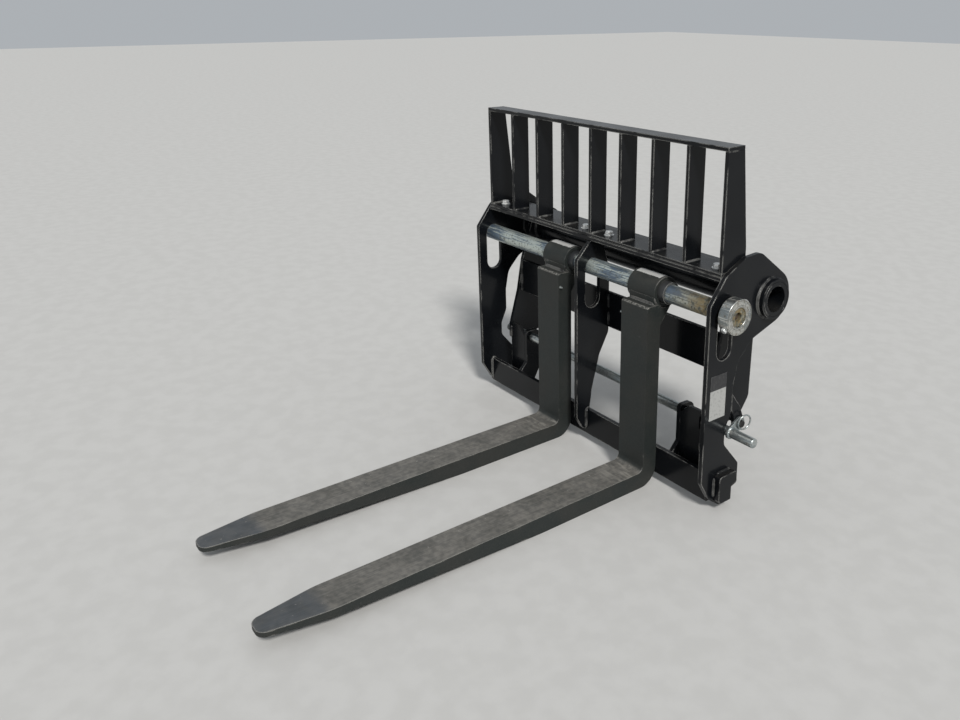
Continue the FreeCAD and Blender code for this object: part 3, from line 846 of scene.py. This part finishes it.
def straight_bead(start: tuple, end: tuple, side_a: tuple, side_b: tuple, leg: float,
                  seed: int = 1) -> Surface:
    """Weld bead along a straight corner.

    Args:
        start: First root point, in mm.
        end: Last root point, in mm.
        side_a: Unit vector along the first face.
        side_b: Unit vector along the second face.
        leg: Leg length in mm.
        seed: Number that the random wave starts from.

    Returns:
        The bead, in metres.
    """
    a, b = np.array(start, float), np.array(end, float)
    count = max(8, int(np.linalg.norm(b - a) / (leg * 0.14)))
    share = np.linspace(0.0, 1.0, count)[:, None]
    path = (a + (b - a) * share) * MM
    return weld_bead(path, np.array(side_a, float), np.array(side_b, float), leg * MM, False, seed)


def ring_bead(centre: tuple, radius: float, face: float, leg: float, seed: int = 1,
              span: tuple[float, float] = (0.0, 360.0)) -> Surface:
    """Weld bead round a tube along X, against a plate.

    Args:
        centre: Point of the tube's axis on the plate's face, in mm.
        radius: Outer radius of the tube, in mm.
        face: +1 where the plate's face looks towards +X, -1 where it looks towards -X.
        leg: Leg length in mm.
        seed: Number that the random wave starts from.
        span: First and last angle round the tube, in degrees from +Y towards +Z.

    Returns:
        The bead, in metres.
    """
    closed = span[1] - span[0] >= 360.0
    length = math.radians(span[1] - span[0]) * radius
    count = max(24, int(length / (leg * 0.16)))
    turn = np.radians(np.linspace(span[0], span[1], count, endpoint=not closed))
    out = np.stack([np.zeros(count), np.cos(turn), np.sin(turn)], 1)
    path = (np.array(centre, float) + radius * out) * MM
    away = np.array([face, 0.0, 0.0])
    return weld_bead(path, out, away, leg * MM, closed, seed)


def turned_body(profile: list[tuple[float, float]], count: int = 40) -> Surface:
    """Body of revolution about local Z: x = r cos t, y = r sin t, z = h.

    Args:
        profile: Radius and height of each ring in mm, from the bottom to the top.
        count: Points in each ring.

    Returns:
        The closed body, in metres.
    """
    turn = np.linspace(0.0, 2 * math.pi, count, endpoint=False)
    radius, height = (np.array(column)[:, None] * MM for column in zip(*profile))
    points = np.stack([radius * np.cos(turn), radius * np.sin(turn),
                       np.broadcast_to(height, (len(profile), count))], 2)
    return swept(points, False)


def hexagon_body(flats: float, height: float, chamfer: float, count: int = 48) -> Surface:
    """Hexagon head about local Z, turned off at its top corners.

    The ring at height h has radius min(a / cos(t mod 60 - 30), c(h)), a the half width
    over the flats, and c a cone that cuts the corners near the top.

    Args:
        flats: Width over the flats in mm.
        height: Height in mm.
        chamfer: Height of the cut corners in mm.
        count: Points in each ring.

    Returns:
        The head, standing on z = 0, in metres.
    """
    turn = np.linspace(0.0, 2 * math.pi, count, endpoint=False)
    half = flats / 2
    corner = half / np.cos(np.mod(turn, math.pi / 3) - math.pi / 6)
    levels = ((0.0, 9.0), (height - chamfer, 1.156), (height - chamfer / 2, 1.08), (height, 0.97))
    rings = [np.minimum(corner, half * limit) for _, limit in levels]
    rings.append(np.full(count, half * 0.9))
    heights = [level for level, _ in levels] + [height]
    points = np.stack([np.stack([ring * np.cos(turn), ring * np.sin(turn), np.full(count, z)], 1)
                       for ring, z in zip(rings, heights)])
    return swept(points * MM, False)


def bent_rod(points: np.ndarray, radius: float, count: int = 10, closed: bool = False) -> Surface:
    """Round wire of a radius along a path of points.

    Each section stands square to the path's direction, on two vectors u and v made from
    it by cross products: p + radius (u cos t + v sin t).

    Args:
        points: Path points in metres.
        radius: Wire radius in metres.
        count: Points round the wire.
        closed: True where the path is a full loop.

    Returns:
        The wire.
    """
    ahead = np.roll(points, -1, 0) - np.roll(points, 1, 0)
    if not closed:
        ahead[0] = points[1] - points[0]
        ahead[-1] = points[-1] - points[-2]
    ahead /= np.linalg.norm(ahead, axis=1)[:, None]
    guide = np.array([0.31, 0.2, 0.93])
    u = np.cross(ahead, guide)
    u /= np.linalg.norm(u, axis=1)[:, None]
    v = np.cross(ahead, u)
    turn = np.linspace(0.0, 2 * math.pi, count, endpoint=False)[None, :, None]
    rings = points[:, None, :] + radius * (u[:, None, :] * np.cos(turn) + v[:, None, :] * np.sin(turn))
    return swept(rings, closed)


def axis_turn(axis: str) -> np.ndarray:
    """Matrix that turns local Z to an axis such as +X or -Y."""
    toward = np.zeros(3)
    toward["XYZ".index(axis[1])] = 1.0 if axis[0] == "+" else -1.0
    side = np.array([0.0, 1.0, 0.0]) if abs(toward[1]) < 0.5 else np.array([1.0, 0.0, 0.0])
    first = np.cross(side, toward)
    return np.stack([first, np.cross(toward, first), toward], 1)


# Pieces


def make_piece(name: str, shape: Surface, material: bpy.types.Material, body: Body,
               smooth_angle: float = 35.0) -> bpy.types.Object:
    """Make a piece of the object from a surface.

    Args:
        name: Name of the piece.
        shape: Its surface, in the classes' coordinates, in metres.
        material: Its material.
        body: The body it rides on.
        smooth_angle: Largest angle in degrees over which faces are shaded as one.

    Returns:
        The piece.
    """
    mesh = bpy.data.meshes.new(name)
    mesh.from_pydata((shape.vertices - DATUM).tolist(), [], shape.faces)
    return finish_piece(name, mesh, material, body, smooth_angle)


def finish_piece(name: str, mesh: bpy.types.Mesh, material: bpy.types.Material, body: Body,
                 smooth_angle: float) -> bpy.types.Object:
    """Turn the faces outwards, shade them and let the piece ride on its body.

    Args:
        name: Name of the piece.
        mesh: Its mesh.
        material: Its material.
        body: The body it rides on.
        smooth_angle: Largest angle in degrees over which faces are shaded as one.

    Returns:
        The piece.
    """
    work = bmesh.new()
    work.from_mesh(mesh)
    bmesh.ops.remove_doubles(work, verts=work.verts, dist=1e-6)
    bmesh.ops.recalc_face_normals(work, faces=work.faces)
    for edge in work.edges:
        edge.smooth = edge.calc_face_angle(0.0) < math.radians(smooth_angle)
    for face in work.faces:
        face.smooth = True
    work.to_mesh(mesh)
    work.free()
    mesh.materials.append(material)
    piece = bpy.data.objects.new(name, mesh)
    bpy.context.scene.collection.objects.link(piece)
    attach(piece, body.value)
    return piece


def rounded_node(node: str, radius: float, material: bpy.types.Material, body: Body) -> bpy.types.Object:
    """Stand in for a CAD node with the same shape and slightly rounded edges.

    A copy of the node's mesh is merged, its flat triangles are joined, and a Bevel
    modifier rounds every edge sharper than 30 degrees.

    Args:
        node: Name of the node.
        radius: Width of the rounding in mm.
        material: Material of the piece.
        body: The body it rides on.

    Returns:
        The piece.
    """
    work = bmesh.new()
    work.from_mesh(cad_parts[node].data)
    bmesh.ops.remove_doubles(work, verts=work.verts, dist=2e-6)
    bmesh.ops.dissolve_limit(work, angle_limit=math.radians(0.2), verts=work.verts,
                             edges=work.edges, use_dissolve_boundaries=False)
    mesh = bpy.data.meshes.new(node + "_dressed")
    work.to_mesh(mesh)
    work.free()
    piece = finish_piece(node + "_dressed", mesh, material, body, 35.0)
    bevel = piece.modifiers.new("edges", "BEVEL")
    bevel.width = radius * MM
    bevel.segments = 2
    bevel.limit_method = "ANGLE"
    bevel.angle_limit = math.radians(30.0)
    bevel.harden_normals = True
    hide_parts(node)
    return piece


@dataclass
class CarriageFrame:
    """Welded frame: plates, beam, tube, hitch cheeks, lock lugs and their welds."""

    finishes: Finishes
    side_in: float = 570.0
    side_out: float = 585.0
    centre_half: float = 7.5
    cheek_in: float = 494.5
    cheek_out: float = 509.5
    lug_in: float = 394.5
    lug_out: float = 409.5
    lug_foot: float = 60.0
    beam_front: float = 55.4
    beam_rear: float = 70.4
    beam_low: float = 39.0
    beam_top: float = 132.0
    top_low: float = 728.0
    top_front: float = 66.0
    top_rear: float = 214.0
    wall_front: float = 152.0
    wall_rear: float = 164.0
    wall_low: float = 410.0
    wall_top: float = 534.0
    tube: tuple[float, float] = (272.0, 643.0)
    tube_r: float = 52.0
    boss_r: float = 60.0
    guard_front: float = 97.0
    guard_rear: float = 109.0
    guard_top: float = 295.0
    block_front: float = 68.0
    block_top: float = 130.0
    block_rear: float = 136.0
    leg: float = 6.0
    rounding: tuple = (
        ("side_plate_left", 0.8), ("side_plate_right", 0.8), ("centre_plate", 0.8),
        ("top_plate", 0.8), ("lower_beam", 0.9), ("rear_wall", 0.8),
        ("pickup_tube", 1.0), ("pickup_bosses", 1.6), ("hitch_cheek_left", 0.8),
        ("hitch_cheek_right", 0.8), ("lock_lug_left", 0.8), ("lock_lug_right", 0.8),
        ("lock_guard_left", 0.8), ("lock_guard_right", 0.8), ("foot_block_left", 1.6),
        ("foot_block_right", 1.6), ("lock_keeper", 0.8),
    )

    def build(self) -> list[bpy.types.Object]:
        """Build the frame's pieces.

        Returns:
            The pieces.
        """
        made = [rounded_node(node, radius, self.finishes.paint, Body.CARRIAGE)
                for node, radius in self.rounding]
        for name, beads in (("frame_welds", self.plate_beads()), ("ring_welds", self.ring_beads()),
                            ("lock_pocket_welds", self.pocket_beads())):
            made.append(make_piece(name, joined(beads), self.finishes.weld, Body.CARRIAGE,
                                   80.0))
        return made

    def plate_beads(self) -> list[Surface]:
        """Welds between the side plates, centre plate, top plate, beam and wall.

        Returns:
            The beads.
        """
        beads = []
        leg = self.leg
        for side in (-1, 1):
            x = side * self.side_in
            inward = (-side, 0, 0)
            beads.append(straight_bead((x, self.top_front, self.top_low), (x, self.top_rear, self.top_low),
                                       inward, (0, 0, -1), leg, 3))
            beads.append(straight_bead((x, self.beam_rear, self.beam_low), (x, self.beam_rear, self.beam_top),
                                       inward, (0, 1, 0), leg, 4))
            beads.append(straight_bead((x, self.beam_front, self.beam_low + 4),
                                       (x, self.beam_front, self.beam_top - 2), inward, (0, -1, 0), leg, 5))
            beads.append(straight_bead((x, self.beam_front, self.beam_top),
                                       (x, self.beam_rear, self.beam_top),
                                       inward, (0, 0, 1), leg - 1, 6))
            c = side * self.centre_half
            outward = (side, 0, 0)
            beads.append(straight_bead((c, 74, self.top_low), (c, 120, self.top_low), outward, (0, 0, -1),
                                       leg, 7))
            beads.append(straight_bead((c, self.beam_front, 62), (c, self.beam_front, self.beam_top),
                                       outward, (0, -1, 0), leg, 8))
            beads.append(straight_bead((c, self.beam_front, self.beam_top),
                                       (c, self.beam_rear, self.beam_top),
                                       outward, (0, 0, 1), leg - 1, 9))
            for low, high in ((self.wall_low + 6, self.wall_low + 56),
                              (self.wall_top - 56, self.wall_top - 6)):
                beads.append(straight_bead((c, self.wall_front, low), (c, self.wall_front, high),
                                           outward, (0, -1, 0), leg, 10))
            k = side * self.cheek_in
            beads.append(straight_bead((k, self.wall_rear, self.wall_low), (k, self.wall_rear, self.wall_top),
                                       inward, (0, 1, 0), leg, 11))
            beads.append(straight_bead((k, self.wall_front, self.wall_low),
                                       (k, self.wall_front, self.wall_top),
                                       inward, (0, -1, 0), leg, 12))
        return beads

    def ring_beads(self) -> list[Surface]:
        """Welds round the pick-up tube and its bosses.

        Returns:
            The beads.
        """
        beads = []
        y, z = self.tube
        for side in (-1, 1):
            beads.append(ring_bead((side * self.side_out, y, z), self.boss_r, side, self.leg, 13))
            beads.append(ring_bead((side * self.side_in, y, z), self.tube_r, -side, self.leg, 14))
            beads.append(ring_bead((side * self.cheek_out, y, z), self.tube_r, side, self.leg, 15))
            beads.append(ring_bead((side * self.cheek_in, y, z), self.tube_r, -side, self.leg, 16))
        return beads

    def pocket_beads(self) -> list[Surface]:
        """Welds of the lock pockets and of the foot blocks.

        Returns:
            The beads.
        """
        beads = []
        leg = self.leg - 1
        for side in (-1, 1):
            for x, out in ((self.lug_in, -1), (self.lug_out, 1)):
                beads.append(straight_bead((side * x, self.beam_rear, self.lug_foot),
                                           (side * x, self.beam_rear, self.beam_top),
                                           (side * out, 0, 0), (0, 1, 0), leg, 17))
            cheek = side * self.cheek_in
            beads.append(straight_bead((cheek, self.guard_rear, 222),
                                       (cheek, self.guard_rear, self.guard_top - 4),
                                       (-side, 0, 0), (0, 1, 0), leg, 18))
            beads.append(straight_bead((cheek, self.guard_front, 234), (cheek, self.guard_front, 280),
                                       (-side, 0, 0), (0, -1, 0), leg, 19))
            outer = side * self.side_out
            beads.append(straight_bead((outer, self.block_front, 58),
                                       (outer, self.block_front, self.block_top - 10),
                                       (side, 0, 0), (0, -1, 0), leg, 20))
            beads.append(straight_bead((outer, self.block_front + 12, self.block_top),
                                       (outer, self.block_rear, self.block_top),
                                       (side, 0, 0), (0, 0, 1), leg, 21))
        return beads


@dataclass
class LoadBackrest:
    """Backrest bolted on the top plate: foot plate, ends, bars, rail, bolts, welds."""

    finishes: Finishes
    front: float = 70.0
    rear: float = 136.0
    floor: float = 750.0
    under: float = 728.0
    rail: float = 1086.0
    half: float = 569.0
    bar_t: float = 12.0
    bars: int = 7
    bolt_y: float = 104.0
    bolts: tuple[float, ...] = (-521.0, -58.0, 58.0, 521.0)
    flats: float = 22.0
    head: float = 11.0
    washer_r: float = 16.0
    washer_t: float = 2.4
    shank_r: float = 6.0
    shank_left: float = 6.0
    nut: float = 10.5
    leg: float = 4.5
    rounding: tuple = (("backrest_base", 1.0), ("backrest_rail", 1.2), ("backrest_bars", 1.0),
                       ("backrest_end_left", 1.0), ("backrest_end_right", 1.0))

    def build(self) -> list[bpy.types.Object]:
        """Build the backrest's pieces.

        Returns:
            The pieces.
        """
        made = [rounded_node(node, radius, self.finishes.paint, Body.CARRIAGE)
                for node, radius in self.rounding]
        made.append(make_piece("backrest_welds", joined(self.beads()), self.finishes.weld,
                               Body.CARRIAGE, 80.0))
        # The bolts' pale zinc is partly a painted highlight.
        made.append(make_piece("backrest_bolts", joined(self.bolt_shapes()), self.finishes.bright,
                               Body.CARRIAGE))
        made.append(make_piece("backrest_nuts", joined(self.nut_shapes()), self.finishes.weld,
                               Body.CARRIAGE))
        return made

    def bar_starts(self) -> list[float]:
        """X of each bar's left face, as in the part: evenly spread between the ends."""
        inner = 2 * (self.half - self.bar_t)
        pitch = (inner + self.bar_t) / (self.bars + 1)
        return [(n + 1) * pitch - inner / 2 - self.bar_t for n in range(self.bars)]

    def beads(self) -> list[Surface]:
        """Welds at the feet and heads of the bars and of the ends.

        Returns:
            The beads.
        """
        beads = []
        faces = [(start, -1) for start in self.bar_starts()]
        faces += [(start + self.bar_t, 1) for start in self.bar_starts()]
        faces += [(-self.half + self.bar_t, 1), (self.half - self.bar_t, -1)]
        for number, (x, out) in enumerate(faces):
            beads.append(straight_bead((x, self.front + 3, self.floor), (x, self.rear - 3, self.floor),
                                       (out, 0, 0), (0, 0, 1), self.leg, 30 + number))
            beads.append(straight_bead((x, self.front + 8, self.rail), (x, self.rear - 8, self.rail),
                                       (out, 0, 0), (0, 0, -1), self.leg - 1, 60 + number))
        return beads

    def bolt_shapes(self) -> list[Surface]:
        """Hexagon bolts through the foot plate, on washers.

        Returns:
            The shapes.
        """
        shapes = []
        up = axis_turn("+Z")
        washer = turned_body([(self.shank_r, 0.0), (self.washer_r, 0.0), (self.washer_r, self.washer_t),
                              (self.shank_r, self.washer_t)])
        head = hexagon_body(self.flats, self.head, 1.8)
        lift = np.array([0.0, 0.0, self.washer_t * MM])
        for number, x in enumerate(self.bolts):
            spin = np.array(Matrix.Rotation(math.radians(17.0 + 23.0 * number), 3, "Z"))
            top = np.array([x, self.bolt_y, self.floor]) * MM
            shapes += [washer.turned(up, top), head.turned(up @ spin, top + lift)]
        return shapes

    def nut_shapes(self) -> list[Surface]:
        """Nuts welded and painted under the top plate, with the bolts' ends.

        Returns:
            The shapes.
        """
        shapes = []
        down = axis_turn("-Z")
        nut = hexagon_body(self.flats, self.nut, 1.8)
        end = turned_body([(self.shank_r, 0.0), (self.shank_r, self.shank_left - 1.0),
                           (self.shank_r - 1.0, self.shank_left)], 24)
        drop = np.array([0.0, 0.0, self.nut * MM])
        for number, x in enumerate(self.bolts):
            spin = np.array(Matrix.Rotation(math.radians(11.0 + 31.0 * number), 3, "Z"))
            low = np.array([x, self.bolt_y, self.under]) * MM
            shapes += [nut.turned(down @ spin, low), end.turned(down, low - drop)]
        return shapes


@dataclass
class FloatShaft:
    """Shaft that the forks hang on, with its collar, cross bolt and stop ring."""

    finishes: Finishes
    centre: tuple[float, float] = (79.0, 639.0)
    collar: tuple[float, float] = (600.0, 634.0)
    collar_r: float = 52.0
    bolt_angle: float = 38.0
    bolt_flats: float = 16.0
    recess_r: float = 12.6
    recess_x: float = 617.4

    def build(self) -> list[bpy.types.Object]:
        """Build the shaft's pieces.

        Returns:
            The pieces.
        """
        made = [rounded_node("float_shaft", 1.5, self.finishes.shaft, Body.SHAFT),
                rounded_node("shaft_stop_ring", 1.2, self.finishes.shaft, Body.SHAFT),
                rounded_node("shaft_collar", 2.0, self.finishes.collar, Body.SHAFT)]
        middle = (self.collar[0] + self.collar[1]) / 2
        shapes = []
        for angle, head in ((self.bolt_angle, 6.0), (self.bolt_angle + 180.0, 8.0)):
            turn = math.radians(angle)
            out = np.array([0.0, math.cos(turn), math.sin(turn)])
            side = np.array([1.0, 0.0, 0.0])
            matrix = np.stack([side, np.cross(out, side), out], 1)
            seat = np.array([middle, *self.centre]) * MM + out * (self.collar_r - 1.5) * MM
            shapes.append(hexagon_body(self.bolt_flats, head, 1.4).turned(matrix, seat))
        made.append(make_piece("collar_cross_bolt", joined(shapes), self.finishes.bright,
                               Body.SHAFT))
        disc = turned_body([(self.recess_r, 0.0), (self.recess_r, 0.5), (5.0, 1.4)], 32)
        seat = np.array([self.recess_x, *self.centre]) * MM
        made.append(make_piece("recess_rust", disc.turned(axis_turn("+X"), seat), self.finishes.rust,
                               Body.SHAFT))
        return made


@dataclass
class ForkArm:
    """One fork: blade and shank, neck, eye, its bush, welds and grease nipple."""

    finishes: Finishes
    side: str
    middle: float
    half_w: float = 57.5
    shank_top: float = 606.0
    saddle_front: float = 33.0
    saddle_end: float = 51.0
    leg: float = 7.0
    eye: tuple[float, float] = (79.0, 639.0)
    eye_r: float = 47.12
    seam: tuple[float, float] = (194.0, 308.0)
    nipple: tuple[float, float] = (8.0, 560.0)

    @property
    def body(self) -> Body:
        """Body of the fork."""
        return Body.FORK_LEFT if self.side == "left" else Body.FORK_RIGHT

    def build(self) -> list[bpy.types.Object]:
        """Build the fork's pieces.

        Returns:
            The pieces.
        """
        coat = self.finishes.fork
        made = [rounded_node("fork_" + self.side, 3.5, coat, self.body),
                rounded_node("fork_neck_" + self.side, 2.0, coat, self.body),
                rounded_node("fork_eye_" + self.side, 2.0, coat, self.body)]
        bush = Body.BUSH_LEFT if self.side == "left" else Body.BUSH_RIGHT
        made.append(rounded_node("eye_bush_" + self.side, 0.8, self.finishes.bush, bush))
        made.append(make_piece("fork_welds_" + self.side, joined(self.beads()), self.finishes.weld,
                               self.body, 80.0))
        made.append(make_piece("grease_nipple_" + self.side, self.grease_nipple(), self.finishes.zinc,
                               self.body))
        return made

    def beads(self) -> list[Surface]:
        """Welds between saddle, neck and eye.

        Returns:
            The beads.
        """
        left, right = self.middle - self.half_w, self.middle + self.saddle_end
        root = (self.saddle_front, self.shank_top)
        beads = [straight_bead((left + 3, *root), (right - 3, *root), (0, -1, 0), (0, 0, 1), self.leg, 81)]
        for side, face in ((-1, left), (1, right)):
            beads.append(ring_bead((face, *self.eye), self.eye_r, side, 4.0, 84, self.seam))
        return beads

    def grease_nipple(self) -> Surface:
        """Grease nipple on the shank's side towards the middle: hexagon foot, neck and ball.

        Returns:
            The nipple.
        """
        foot = hexagon_body(9.0, 4.0, 0.8, 36)
        ball = turned_body([(2.2, 4.0), (2.0, 6.5), (2.9, 8.0), (3.2, 9.4), (2.6, 11.0), (1.2, 11.8)], 20)
        inward = 1.0 if self.middle < 0 else -1.0
        seat = np.array([self.middle + inward * self.half_w, *self.nipple]) * MM
        turn = axis_turn("+X" if self.middle < 0 else "-X")
        return joined([foot.turned(turn, seat), ball.turned(turn, seat)])


@dataclass
class LockingBar:
    """Bar that locks the carriage on the machine, its tab, pin and wire ring, with painted shade on the pin
    and on the mouth of its cross hole.
    """

    finishes: Finishes
    bar: tuple[float, float] = (125.0, 255.0)
    bar_r: float = 15.0
    tab_face: float = 594.0
    pin: tuple[float, float] = (161.0, 275.0)
    pin_head: tuple[float, float] = (594.0, 603.0)
    ring_r: float = 23.0
    ring_lean: float = 7.0
    ring_turn: float = 20.0
    ring_eye: float = 13.0
    wire_r: float = 2.6
    hole_x: float = 666.0
    hole_r: float = 4.0

    def build(self) -> list[bpy.types.Object]:
        """Build the bar's pieces.

        Returns:
            The pieces.
        """
        zinc = self.finishes.zinc
        made = [rounded_node("lock_bar", 1.0, zinc, Body.BAR),
                rounded_node("lock_tab", 1.0, zinc, Body.BAR),
                # The linch pin's black finish is painted shade of the tab's hole round it.
                rounded_node("linch_pin", 1.0, self.finishes.pin, Body.BAR)]
        bead = ring_bead((self.tab_face, *self.bar), self.bar_r, 1, 3.5, 91)
        made.append(make_piece("tab_weld", bead, zinc, Body.BAR, 80.0))
        made.append(make_piece("linch_ring", self.wire_ring(), zinc, Body.BAR, 80.0))
        # The cross-hole disc is painted shade, not a hole.
        made.append(make_piece("bar_cross_hole_shade", self.cross_hole(), self.finishes.pin, Body.BAR))
        return made

    def cross_hole(self) -> Surface:
        """Painted shade of the hole drilled across the bar: a thin dark disc on its front.

        Returns:
            The disc.
        """
        disc = turned_body([(self.hole_r, 0.0), (self.hole_r, 1.0), (self.hole_r - 0.8, 1.3)], 24)
        seat = np.array([self.hole_x, self.bar[0] - self.bar_r + 0.3, self.bar[1]]) * MM
        return disc.turned(axis_turn("-Y"), seat)

    def wire_ring(self) -> Surface:
        """Sprung wire ring of the linch pin.

        Its centre line is a circle of ring_r in the Y, Z plane that starts at the eye in
        the pin's head, runs up to the rear and leans out along X by a cosine, so that it
        clears the tab: x = x0 + lean (1 - cos t) / 2.

        Returns:
            The ring.
        """
        turn = np.linspace(0.0, 2 * math.pi, 72, endpoint=False)
        angle = math.radians(self.ring_turn)
        ahead = self.ring_r * (1 - np.cos(turn)) - self.ring_eye
        across = self.ring_r * np.sin(turn)
        y = self.pin[0] + ahead * math.cos(angle) - across * math.sin(angle)
        z = self.pin[1] + ahead * math.sin(angle) + across * math.cos(angle)
        x = sum(self.pin_head) / 2 + self.ring_lean * (1 - np.cos(turn)) / 2
        return bent_rod(np.stack([x, y, z], 1) * MM, self.wire_r * MM, 12, True)


@dataclass
class LabelPlate:
    """Blank plate stuck on the right side plate."""

    finishes: Finishes

    def build(self) -> list[bpy.types.Object]:
        """Build the plate.

        Returns:
            The piece.
        """
        return [rounded_node("label_plate", 0.3, self.finishes.label, Body.CARRIAGE)]


# Stage


@dataclass
class Stage:
    """Floor, lamps, world and camera."""

    finishes: Finishes
    focal_px: float = 866.78
    principal: tuple[float, float] = (583.29, 292.72)
    azimuth: float = 50.42
    elevation: float = 18.62
    roll: float = 0.25
    eye: tuple[float, float, float] = (2.0806, -1.6741, 1.4617)
    width: int = 960
    height: int = 720
    sun_from: tuple[float, float, float] = (0.68, -0.27, 0.69)
    sun_angle: float = 9.0
    sun: float = 2.45
    sky: float = 0.46

    def build(self) -> None:
        """Build the stage and set the camera."""
        self.floor()
        self.key_light()
        self.world()
        self.camera()
        bpy.context.scene.view_settings.view_transform = "Standard"

    def floor(self) -> None:
        """Pale floor under the forks, made as one square."""
        ground = GROUND - DATUM[2]
        corners = [(-30, -30, ground), (30, -30, ground), (30, 30, ground), (-30, 30, ground)]
        mesh = bpy.data.meshes.new("floor")
        mesh.from_pydata(corners, [], [(0, 1, 2, 3)])
        mesh.materials.append(self.finishes.floor)
        plane = bpy.data.objects.new("floor", mesh)
        bpy.context.scene.collection.objects.link(plane)

    def key_light(self) -> None:
        """Broad soft key light from the right, slightly in front."""
        data = bpy.data.lights.new("key", "SUN")
        data.energy = self.sun
        data.angle = math.radians(self.sun_angle)
        data.color = (1.0, 0.985, 0.96)
        lamp = bpy.data.objects.new("key", data)
        lamp.rotation_euler = Vector(self.sun_from).to_track_quat("Z", "Y").to_euler()
        bpy.context.scene.collection.objects.link(lamp)

    def world(self) -> None:
        """Pale even world."""
        world = bpy.data.worlds.new("studio")
        world.use_nodes = True
        back = world.node_tree.nodes["Background"]
        back.inputs["Color"].default_value = (0.9, 0.95, 1.0, 1.0)
        back.inputs["Strength"].default_value = self.sky
        bpy.context.scene.world = world

    def camera(self) -> None:
        """Camera at the photograph's viewing angle.

        The right and up vectors come from azimuth, elevation and roll, the lens from the
        focal length in pixels, and the shift from the principal point.
        """
        a, e, r = (math.radians(v) for v in (self.azimuth, self.elevation, self.roll))
        ahead = Vector((-math.sin(a) * math.cos(e), math.cos(a) * math.cos(e), -math.sin(e)))
        level = Vector((math.cos(a), math.sin(a), 0.0))
        square = level.cross(ahead)
        right = level * math.cos(r) + square * math.sin(r)
        up = square * math.cos(r) - level * math.sin(r)
        data = bpy.data.cameras.new("camera")
        data.sensor_width = 36.0
        data.lens = self.focal_px / self.width * data.sensor_width
        data.shift_x = (self.width / 2 - self.principal[0]) / self.width
        data.shift_y = (self.principal[1] - self.height / 2) / self.width
        data.clip_end = 200.0
        camera = bpy.data.objects.new("camera", data)
        spot = Vector(np.array(self.eye) - DATUM)
        turn = Matrix((right, up, -ahead)).transposed().to_4x4()
        camera.matrix_world = Matrix.Translation(spot) @ turn
        bpy.context.scene.collection.objects.link(camera)
        bpy.context.scene.camera = camera


def main() -> None:
    logging.basicConfig(level=logging.INFO, format="%(message)s")
    finishes = Finishes(Effects())
    parts = [CarriageFrame(finishes), LoadBackrest(finishes), FloatShaft(finishes),
             ForkArm(finishes, "left", -132.0), ForkArm(finishes, "right", 295.0),
             LockingBar(finishes), LabelPlate(finishes)]
    for part in parts:
        for piece in part.build():
            LOG.info("%s: %d faces", piece.name, len(piece.data.polygons))
    Stage(finishes).build()


if __name__ == "__main__":
    main()
